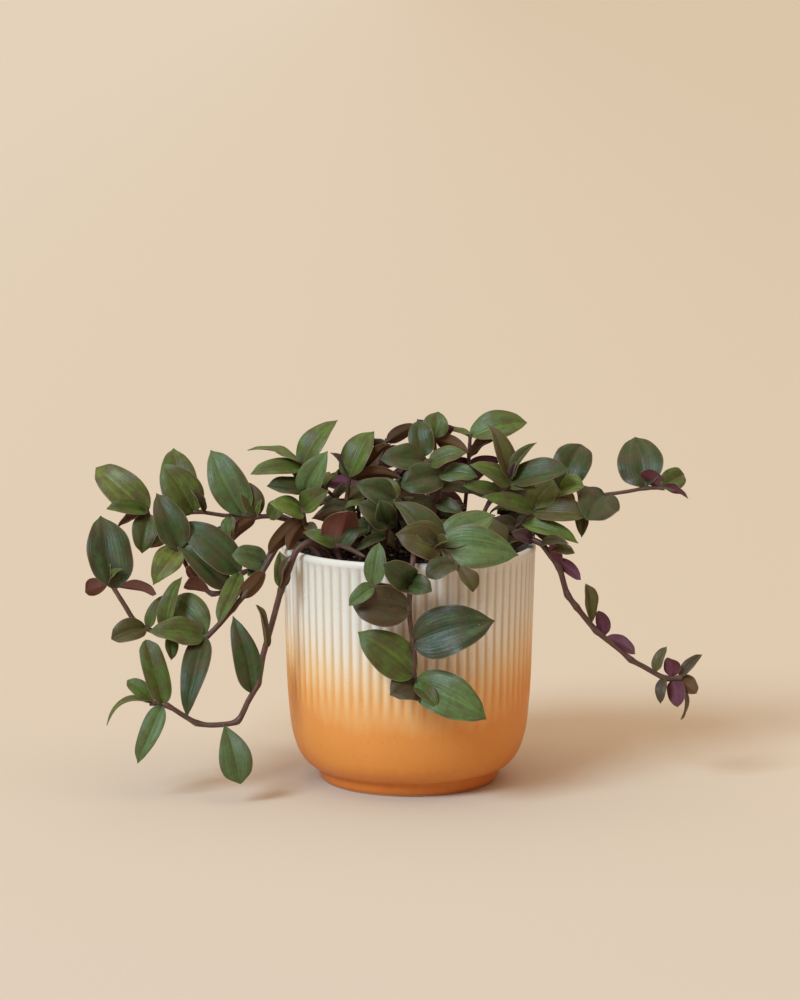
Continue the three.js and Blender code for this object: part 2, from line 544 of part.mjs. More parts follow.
    path: [[53.5, 119, -12], [60.5, 121.5, -12], [66.5, 119, -14], [70.5, 113.7, -15],
      [75, 107.6, -16, 1], [79.5, 93.3, -17, 1], [84, 87.2, -18, 1], [94, 75, -19, 1],
      [106.5, 64.8, -20], [111.5, 60.2, -20, 1], [118, 56.6, -20], [129.5, 50.5, -20, 1],
      [137, 51, -20, 1]],
    leaves: [
      [75, 107.5, 72, 119, -7, 6, 160, 0.1, 25], [72, 111.5, 86, 100.5, -7, 7, 160, 0.1, 25],
      [92, 78, 89.5, 99, -5, 9.5, 30, 0.08, 30], [98, 72, 95, 85.5, -6, 8.5, 160, 0.1, 25],
      [98.5, 71.5, 114, 63, -8, 8.5, 150, 0.1, 25], [124, 53.5, 129.5, 67, 4, 7, 30, 0.1, 20],
      [132.5, 50.7, 135.5, 35.5, -8, 10, 165, 0.1, 20], [137, 51, 147.5, 63, 4, 6.5, 20, 0.1, 25],
      [137, 51, 145.3, 43, -6, 9.5, 165, 0.12, 20], [134.5, 51, 137.5, 29, 5, 8, 75, 0.12, 25],
      [128, 51, 127, 37.5, -6, 6, 15, 0.1, 20], [131.5, 50.6, 131.7, 61.2, -7, 9.5, 165, 0.1, 20],
      [68.5, 117, 82.5, 114.5, -6, 7, 30, 0.1, 20], [66.5, 119, 79, 120.5, -4, 6.5, 40, 0.1, 20],
      [56, 120, 41, 129, -8, 6.5, 150, 0.1, 20], [59, 121, 46.5, 117.5, -9, 8, 60, 0.1, 20],
      [62, 121, 51, 124.5, -8, 7.5, 20, 0.1, 20],
    ],
  },
  {
    name: 'stem_front_trailing', radius: 1.45, root: [2, -45],
    path: [[3, 117, -55], [2, 111, -66], [1, 101.5, -69, 1], [0.5, 94.9, -70, 1], [0, 85.7, -71, 1],
      [2, 68.9, -71, 1], [3, 60.7, -70], [2.5, 52.5, -69, 1], [4.5, 45.9, -68, 1]],
    branches: [[[0.5, 94.9, -70], [-14.5, 98.4, -74], [-19, 97.4, -76, 1]]],
    leaves: [
      [0, 85.7, -28, 88.5, -6, 21, 10, 0.1, 12], [2, 69, 43, 79.5, -3, 26.5, 10, 0.1, 10],
      [2.5, 52.5, -25.5, 74, -3, 20.5, 10, 0.1, 12], [3.5, 49, 39, 30, -9, 22.5, 10, 0.12, 12],
      [4.5, 46, -9.5, 42, -10, 18.5, 20, 0.12, 15], [4.5, 46, 14.5, 35.5, -13, 10, 15, 0.12, 35],
      [-19, 97.5, -15, 120, 4, 11, 10, 0.1, 18], [-19, 97.5, -30.5, 88, -7, 9.5, 20, 0.1, 20],
      [0.8, 100, -12.5, 109, -11, 15.5, 0, 0.15, 25], [1, 99, 11.3, 95.5, -11, 11.5, 10, 0.15, 20],
    ],
  },
  {
    name: 'stem_left_short', radius: 1.4, root: [-33, -34],
    path: [[-36, 118, -36, 1], [-29.5, 116.5, -42], [-22, 112.5, -49]],
    leaves: [
      [-36, 118, -31, 137, -13, 19.5, 165, 0.1, 12], [-36, 118, -53, 125, 0, 8.5, 25, 0.1, 20],
      [-35, 118, -25, 130.5, 3, 11, 20, 0.1, 20],
    ],
  },
  {
    name: 'stem_inner_left', radius: 1.2, root: [-24, 10],
    path: [[-27, 130, 8], [-34, 140, 6, 1], [-43, 148, 2, 1]],
    leaves: [
      [-35, 141, -37, 143, 22, 15, 0, 0.15, 12], [-32, 138, -28, 142, -20, 14, 0, 0.15, 12],
      [-43, 148, -60, 151, 6, 15, 75, 0.15, 12], [-42, 147, -44, 151, 20, 14, 0, 0.15, 12],
      [-36, 142, -22, 148, 8, 14, 80, 0.15, 12], [-41, 146, -33, 155, 14, 14, 75, 0.15, 12],
      [-30, 135, -46, 138, 14, 14, 80, 0.15, 12], [-29, 134, -14, 137, -5, 13, 80, 0.15, 12],
      [-27, 131, -44, 120, -8, 13, 50, 0.15, 12], [-27, 131, -12, 121, -6, 12, 50, 0.15, 12],
    ],
  },
  {
    name: 'stem_inner_middle', radius: 1.2, root: [-6, 12],
    path: [[-5, 130, 13], [-6, 146, 14, 1], [0, 160, 12, 1]],
    leaves: [
      [-6, 146, -12, 148, -22, 15, 0, 0.15, 12], [-6, 146, -20, 152, 6, 14, 80, 0.15, 12],
      [0, 160, 2, 164, 20, 14, 0, 0.15, 12], [-1, 158, 4, 161, -18, 14, 0, 0.15, 12],
      [-3, 152, 14, 158, 6, 14, 80, 0.15, 12], [-5.5, 143, -8, 149, 24, 14, 0, 0.15, 12],
      [-5.3, 138, -20, 139, -9, 14, 80, 0.15, 12], [-5.2, 136, 10, 140, 9, 14, 80, 0.15, 12],
      [-5, 131, -22, 120, -8, 13, 50, 0.15, 12], [-5, 131, 12, 119, -8, 13, 50, 0.15, 12],
    ],
  },
  {
    name: 'stem_inner_right', radius: 1.2, root: [46, 16],
    path: [[51, 130, 16], [58, 142, 16, 1], [66, 152, 14, 1]],
    leaves: [
      [58, 142, 62, 145, 20, 15, 0, 0.15, 12], [57, 141, 50, 146, -20, 14, 0, 0.15, 12],
      [66, 152, 70, 156, -16, 13, 0, 0.15, 12], [58, 142, 44, 150, 8, 15, 80, 0.15, 12],
      [65, 151, 80, 152, 8, 14, 80, 0.15, 12], [60, 145, 74, 144, -5, 14, 80, 0.15, 12],
      [64, 150, 63, 157, 18, 13, 0, 0.15, 12], [54, 135, 40, 135, 6, 13, 80, 0.15, 12],
      [51, 131, 36, 120, -10, 13, 50, 0.15, 12], [51.5, 132, 63, 123, -8, 12, 50, 0.15, 12],
    ],
  },
  {
    name: 'stem_inner_front', radius: 1.3, root: [-22, -20],
    path: [[-20, 126, -20], [-17, 137, -17, 1]],
    leaves: [
      [-17, 136, -18, 139, -20, 14, 0, 0.15, 12], [-17, 136, -32, 138, -6, 14, 75, 0.15, 12],
      [-17, 136, -2, 138, -6, 14, 75, 0.15, 12], [-18, 134, -14, 141, 18, 13, 0, 0.15, 12],
      [-20, 127, -34, 117.5, -8, 12, 50, 0.15, 12], [-20, 127, -7, 117, -9, 12, 50, 0.15, 12],
    ],
  },
  {
    name: 'stem_back_left', radius: 1.3, root: [-22, 24],
    path: [[-25, 128, 23], [-24, 146, 22, 1], [-15, 160, 20, 1], [-11, 171.5, 17, 1]],
    leaves: [
      [-11, 171.5, 4, 179, -5, 8, 165, 0.1, 18], [-24, 146, -46, 150, 14, 15, 150, 0.12, 15],
      [-15, 160, -34, 164, 14, 14, 145, 0.12, 15], [-24, 144, -8, 148, 20, 15, 140, 0.12, 12],
      [-15, 160, 2, 162, 16, 14, 150, 0.12, 15], [-25, 130, -48, 132, 18, 16, 140, 0.12, 12],
      [-11, 171.5, -16, 167, 16, 11, 130, 0.12, 15], [-24, 142, -28, 147, -18, 13, 0, 0.15, 12],
      [-25, 129, -40, 119, -10, 14, 40, 0.15, 12], [-25, 129, -10, 119, -12, 14, 40, 0.15, 12],
    ],
  },
  {
    name: 'stem_back_middle', radius: 1.35, root: [4, 34],
    path: [[6, 128, 36], [9, 142, 42, 1], [12, 152, 48, 1]],
    leaves: [
      [12, 152, 14, 162, 22, 16, 170, 0.12, 12], [12, 152, 30, 152, 18, 15, 150, 0.12, 12],
      [12, 152, -8, 156, 16, 14, 150, 0.12, 12], [9, 142, -12, 138, 20, 16, 140, 0.12, 12],
      [9, 142, 28, 136, 20, 16, 140, 0.12, 12], [7, 130, 8, 124, 26, 15, 170, 0.12, 12],
      [6.5, 130, -10, 121, -14, 14, 40, 0.15, 12], [6.5, 130, 22, 120, -14, 14, 40, 0.15, 12],
      [8, 137, 25, 130, -16, 14, 30, 0.15, 12], [8, 137, -9, 131, -16, 14, 30, 0.15, 12],
    ],
  },
  {
    name: 'stem_back_right', radius: 1.3, root: [32, 26],
    path: [[40, 128, 28], [54, 139, 31, 1], [66, 146, 33, 1]],
    leaves: [
      [66, 146, 82, 156, 14, 15, 140, 0.12, 12], [66, 146, 84, 140, 12, 15, 140, 0.12, 12],
      [66, 146, 60, 158, 18, 14, 150, 0.12, 12], [54, 139, 40, 150, 18, 14, 150, 0.12, 12],
      [54, 139, 62, 124, 18, 15, 150, 0.12, 12], [42, 130, 36, 122, 22, 14, 160, 0.12, 12],
      [50, 136, 48, 141, -18, 13, 0, 0.15, 12], [41, 129, 28, 119, -12, 14, 40, 0.15, 12],
      [44, 131, 60, 124, -10, 14, 40, 0.15, 12], [48, 134, 62, 134, -14, 13, 30, 0.15, 12],
    ],
  },
  {
    name: 'stem_back_left_trailing', radius: 1.5, root: [-26, 40],
    path: [[-34.5, 133, 50], [-39, 129, 56], [-40, 113, 59, 1], [-38, 96, 60], [-41, 79, 62, 1],
      [-37, 62, 64, 1]],
    leaves: [
      [-40, 113, -54, 106, 14, 16, 150, 0.12, 12], [-40, 113, -26, 118, 16, 15, 150, 0.12, 12],
      [-38, 96, -24, 92, 14, 15, 150, 0.12, 12], [-41, 79, -56, 86, 12, 15, 150, 0.12, 12],
      [-41, 79, -50, 62, 12, 14, 160, 0.12, 12], [-37, 62, -22, 66, 12, 13, 150, 0.12, 12],
      [-37, 62, -36, 40, 10, 13, 175, 0.12, 12],
    ],
  },
  {
    name: 'stem_back_right_trailing', radius: 1.5, root: [28, 42],
    path: [[36.8, 133, 50], [41, 129, 56], [42.5, 109.9, 58, 1], [39.5, 94.7, 60], [43.4, 81.2, 61, 1],
      [40.5, 70, 63, 1]],
    leaves: [
      [42.5, 110, 56, 104, 14, 15, 150, 0.12, 12], [42.5, 110, 28, 118, 16, 15, 150, 0.12, 12],
      [39.5, 94.7, 26, 86, 14, 14, 150, 0.12, 12], [43.4, 81.2, 56, 88, 12, 14, 150, 0.12, 12],
      [40.5, 70, 52, 56, 12, 13, 160, 0.12, 12], [40.5, 70, 28, 60, 10, 13, 160, 0.12, 12],
    ],
  },
];

// ---------------------------------------------------------------- assembly

function overlaps(solid, others) {
  const box = solid.boundingBox();
  return others.some(({ solid: other, box: otherBox }) => (
    [0, 1, 2].every((k) => box.min[k] <= otherBox.max[k] && box.max[k] >= otherBox.min[k])
    && solid.intersect(other).volume() > 1e-6));
}

/** Bends by 0, 1, -1, 2, -2 ... steps, in the order that they are tried. */
const dodges = [0];
for (let step = 1; step <= DODGE_LIMIT; step += 1) dodges.push(step * DODGE_STEP, -step * DODGE_STEP);

/** The first bend that keeps a leaf clear of everything that isn't its own stem. */
function clearDodge(stem, leaf, others) {
  const clear = dodges.find((dodge) => !overlaps(solidOf(blade(stem, leaf, dodge, CLEARANCE)), others));
  if (clear === undefined) throw new Error(`${stem.name} has no room for the leaf ${leaf}`);
  return clear;
}

function addMesh(group, name, solid, material) {
  const mesh = new THREE.Mesh(geometryOf(solid), material);
  mesh.name = name;
  group.add(mesh);
}

const placed = [];

function place(owner, solid) {
  placed.push({ owner, solid, box: solid.boundingBox() });
}

const plant = new THREE.Group();

const pot = makePot();
place('pot', pot);
addMesh(plant, 'pot', pot, materials.pot());

const soil = stems.reduce((rest, stem) => rest.subtract(stemHole(stem)), makeSoil());
place('soil', soil);
addMesh(plant, 'soil', soil, materials.soil());

for (const stem of stems) {
  const runs = [stemKnots(stem), ...(stem.branches ?? []).map((branch) => branchKnots(stem, branch))];
  stem.solid = runs.map((run) => solidOf(tube(run))).reduce((whole, run) => whole.add(run));
  place(stem.name, stem.solid);
}

for (const stem of stems) {
  const others = () => placed.filter(({ owner }) => owner !== stem.name);
  for (const leaf of stem.leaves) {
    const solid = solidOf(blade(stem, leaf, clearDodge(stem, leaf, others()), 0));
    stem.solid = stem.solid.add(solid);
    place(stem.name, solid);
  }
  addMesh(plant, stem.name, withoutHollows(stem.solid.simplify(TIDY)), materials.plant());
}

export default plant;
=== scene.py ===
"""The looks of a potted tradescantia: a ribbed pot with a glaze that runs from cream down to
orange, dark potting soil, and leafy stems with streaked leaves, purple or brown underneath.

Shapes are worked out in millimetres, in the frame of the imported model, and are turned into
metres when a piece is finished.
"""

import math
import random

import bmesh
import bpy
from mathutils import Matrix, Quaternion, Vector, kdtree, noise


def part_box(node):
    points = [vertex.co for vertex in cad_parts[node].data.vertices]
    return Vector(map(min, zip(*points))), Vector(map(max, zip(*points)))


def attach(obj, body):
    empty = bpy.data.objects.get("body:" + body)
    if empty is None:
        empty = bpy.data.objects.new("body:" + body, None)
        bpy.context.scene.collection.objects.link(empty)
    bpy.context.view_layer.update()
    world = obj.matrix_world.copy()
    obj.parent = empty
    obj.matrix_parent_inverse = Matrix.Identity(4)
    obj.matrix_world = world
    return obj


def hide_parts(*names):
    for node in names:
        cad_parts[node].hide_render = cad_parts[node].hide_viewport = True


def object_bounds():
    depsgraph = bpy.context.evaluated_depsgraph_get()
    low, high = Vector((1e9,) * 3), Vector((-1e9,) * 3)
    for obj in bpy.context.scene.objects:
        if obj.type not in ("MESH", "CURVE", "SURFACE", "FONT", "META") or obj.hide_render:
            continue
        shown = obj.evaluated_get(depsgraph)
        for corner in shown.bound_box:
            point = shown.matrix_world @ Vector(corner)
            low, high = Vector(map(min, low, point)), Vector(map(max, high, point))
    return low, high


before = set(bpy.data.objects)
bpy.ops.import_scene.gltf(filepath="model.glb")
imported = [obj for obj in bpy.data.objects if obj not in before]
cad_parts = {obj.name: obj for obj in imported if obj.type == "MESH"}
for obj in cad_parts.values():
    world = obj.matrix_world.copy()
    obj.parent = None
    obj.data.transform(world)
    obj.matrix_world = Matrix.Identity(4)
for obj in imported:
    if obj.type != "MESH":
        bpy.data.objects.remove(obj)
cad_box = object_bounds()

MM = 0.001
BODY = "root"

# ---------------- sizes, in millimetres

POT_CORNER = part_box("pot")[1]
POT_HEIGHT = POT_CORNER.z / MM
RIM_RADIUS = POT_CORNER.x / MM
WALL = 4
RIB_COUNT = 72
STEPS_PER_RIB = 8
GROOVE_DEPTH = 0.85
GROOVE_ROUNDING = 0.7  # share of a groove's form that is an eased curve
RIDGE_FLAT = 0.2  # share of a rib's half width that stays flat on its ridge
RIBS_BOTTOM = 40
RIBS_FADE = 14
RIBS_TOP = 116
RIBS_RISE = (RIBS_BOTTOM - 2, RIBS_BOTTOM + RIBS_FADE)  # heights between which the ribs grow
RIBS_END = (RIBS_TOP - 0.8, RIBS_TOP + 1.2)  # and between which they end at the lip

INNER_FLOOR = 7
INNER_FLOOR_RADIUS = 38
INNER_TURN = (50, 14)  # radius and height halfway round the inside corner
INNER_WALL_FOOT = 24
INNER_TAPER = 3.5

SOIL_LEVEL = 112
SOIL_SKIRT = 2  # depth of the plain band below the soil's uneven top
SOIL_LUMP = 1.3
SOIL_CRUMBLE = 0.5
SOIL_GAP = 0.3
SOIL_STEPS = 180
SOIL_RINGS = 34
CRUMB_MARGIN = 3  # least distance of a crumb's middle from the wall
CRUMB_RISE = 0.25  # how far a crumb's middle lies above the soil, in radii
CRUMB_ROUGHNESS = 0.9
BARK_COUNT = 110
BARK_SEED = 23
BARK_MARGIN = 6
BARK_LENGTHS = (2, 7)
BARK_WIDTHS = (0.5, 2.2)
BARK_HEIGHTS = (0.4, 1.1)
BARK_LEAN = 0.25  # radians
BARK_RISE = 0.7
BARK_BEVEL = 0.14
BARK_WARP = 0.3

STEM_FOOT = 95
STEM_RISE = 2  # height above the soil's level up to which a stem stands upright
STEM_SIDES = 12
STEM_STEP = 1.6
STEM_PULL = 0.62
STEM_TAPER = 0.75
STEM_WOBBLE = 0.05  # unevenness of a stem, as a share of its radius
KNOT_SWELL = 0.28  # how much thicker a stem is at a knot, as a share of its radius
KNOT_REACH = 1.9
END_STEPS = 3  # steps over which a stem's growing end narrows
END_NARROWING = 0.45
END_INSET = 1.2  # least distance from a stem's growing end to where a leaf grows
HAIRS = 8  # on the sheath of each knot
HAIR_LENGTH = 0.9
HAIR_RADII = (0.04, 0.01)
HAIR_START = 1.26  # distance of a hair's root from the stem's axis, in stem radii

BLADE_COLUMNS = 12
BLADE_ROWS = 20
ROW_EVENNESS = 0.45  # 1 spaces a blade's rows evenly, and 0 crowds them at its ends
BLADE_THICKNESS = 0.5
EDGE_THINNING = 0.5  # share of its thickness that a blade loses at its edges
ROOT_START = 0.35  # distance from a stem's axis to a blade's start, in stem radii
STALK_WIDTH = 0.17  # half width at a blade's root, as a share of its widest
STALK_LENGTH = 0.2  # share of a blade's length that its narrow, closed root takes up
LEAST_WIDTH = 0.012  # half width at a blade's tip, as a share of its widest
TIP_START = 0.86  # share of a blade's length from which its tip is drawn in
TIP_DRAWN = 0.45  # how much narrower that makes the very tip
ROOT_FOLD = 0.7  # how far a blade closes round its stem at the root, in radians
FOLD_ROUNDING = 0.03  # how gently a blade turns at its midrib
FOLD_DEPTH = 0.173  # the square root of FOLD_ROUNDING, to three places
TWIST_START = 0.25  # share of a blade's length at which it has no twist
CURL_START = 0.7  # share of a blade's length from which its tip curls
SHARP_EDGE = 0.8  # angle from which a blade's edges aren't shaded smooth, in radians

# What the form of each leaf is drawn from.
RISE_RANGE = (0.88, 1.15)
FALL_RANGE = (0.9, 1.12)
TWIST_RANGE = (-16, 16)  # degrees
WAVE_RANGE = (0.03, 0.1)  # height of the ripples at the edges, in half widths
RIPPLE_RANGE = (1.0, 2.3)  # how many ripples
BULGE_RANGE = (0.05, 0.15)  # how far each half arches across, in half widths
HOOK_RANGE = (-0.07, 0.07)  # how far the blade bows sideways, in lengths
DROOP_RANGE = (0.0, 0.06)  # how far the tip bends away from the upper face, in lengths
TONE_RANGE = (0.86, 1.14)  # how light the colour is
GREEN_RANGE = (0.95, 1.05)  # how green the colour is

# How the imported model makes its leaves.
SOLID_BLADE = 0.7  # thickness of a leaf
FOLDED_LEAF = 15  # width from which a leaf is folded along its midrib
ROLLED_FOLD = 30  # fold, in degrees, from which a smaller leaf is folded too
BEND_STEP = 3  # a leaf that would cross another is bent back by whole steps
BEND_LIMIT = 10  # the most steps, back or forwards

BOX_MARGIN = 0.02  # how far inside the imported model's box a bent leaf ends
LEAST_SHARE = 0.1  # what a place nearer a blade's root counts as when it's bent there

# The front view from which the places of stems and leaves are given.
EYE = Vector((-4.5, -1718, 412))
EYE_PITCH = math.radians(81.05)
LENS = 125.4
SENSOR = 36
VIEW_DEPTH = 200  # metres
FLOOR_RADIUS = 60  # metres

# Slots of the materials that every leafy stem has.
TOP, UNDERSIDE, SKIN, SHEATH, HAIR = range(5)

# ---------------- colours


def colour(red, green, blue):
    """A colour given in the 0 to 255 values of a screen, as the shaders take it."""
    def linear(value):
        share = value / 255
        return share / 12.92 if share <= 0.04045 else ((share + 0.055) / 1.055) ** 2.4
    return (linear(red), linear(green), linear(blue), 1.0)


# The glaze, at shares of the pot's height.
GLAZE_BANDS = [
    (0.0, colour(216, 122, 52)),
    (0.14, colour(231, 149, 70)),
    (0.28, colour(234, 152, 75)),
    (0.37, colour(241, 178, 112)),
    (0.46, colour(247, 204, 152)),
    (0.57, colour(245, 226, 202)),
    (0.7, colour(240, 231, 218)),
    (1.0, colour(223, 217, 206)),
]

# Each look of a leaf: its colour, how silvery its bands are, and how blotched it is.
TOP_LOOKS = {
    "g": (colour(82, 97, 35), 0.3, 0.6),  # green
    "d": (colour(53, 66, 26), 0.25, 0.55),  # dark green
    "t": (colour(85, 103, 57), 0.5, 0.35),  # grey green
    "s": (colour(47, 61, 30), 0.65, 0.45),  # dark green with silvery bands
    "b": (colour(102, 118, 46), 0.3, 0.25),  # bright young green
    "y": (colour(102, 109, 42), 0.2, 0.6),  # yellow green
    "o": (colour(82, 76, 32), 0.25, 0.7),  # olive
    "n": (colour(67, 55, 31), 0.2, 0.7),  # olive brown
    "q": (colour(78, 46, 58), 0.2, 0.5),  # purple, as a young rolled leaf
}
UNDER_LOOKS = {
    "p": colour(104, 54, 70),  # purple
    "r": colour(116, 68, 58),  # reddish brown
    "k": colour(98, 64, 36),  # orange brown
    "o": colour(100, 84, 48),  # olive brown
    "g": colour(86, 92, 52),  # green
}
UNDERSIDE_TURN = 100  # turn from which a leaf shows its underside to the front
HIDDEN_TOPS = "gtdsgo"  # looks of the upper faces that the front view doesn't show
HIDDEN_UNDERS = "krkpo"  # looks of the lower faces that the front view doesn't show

# Each form of a leaf, as the powers by which it widens from its root and narrows to its tip. A
# low power makes that end full.
LEAF_FORMS = {
    "e": (0.5, 0.8),  # egg shaped
    "r": (0.5, 0.58),  # nearly round, with a blunt tip
    "t": (1.05, 0.62),  # widest towards its tip
    "l": (0.28, 0.34),  # long, with even sides
}

# ---------------- the plant
#
# A stem starts with its name, the radius at its foot and the place of its foot in the soil.
# Then come its runs, the stem itself first and then its branches, as points with their right,
# up and back, and with "knot" where leaves grow. "on" goes on with the run above.
# Then comes a line for each leaf: the look of the face that it turns to the front, its form,
# root right, root up, tip right, tip up, tip back, width, turn, arch and fold.
# `turn` is 0 where the upper face looks to the front, 90 where it looks up and 180 where the
# underside looks to the front.

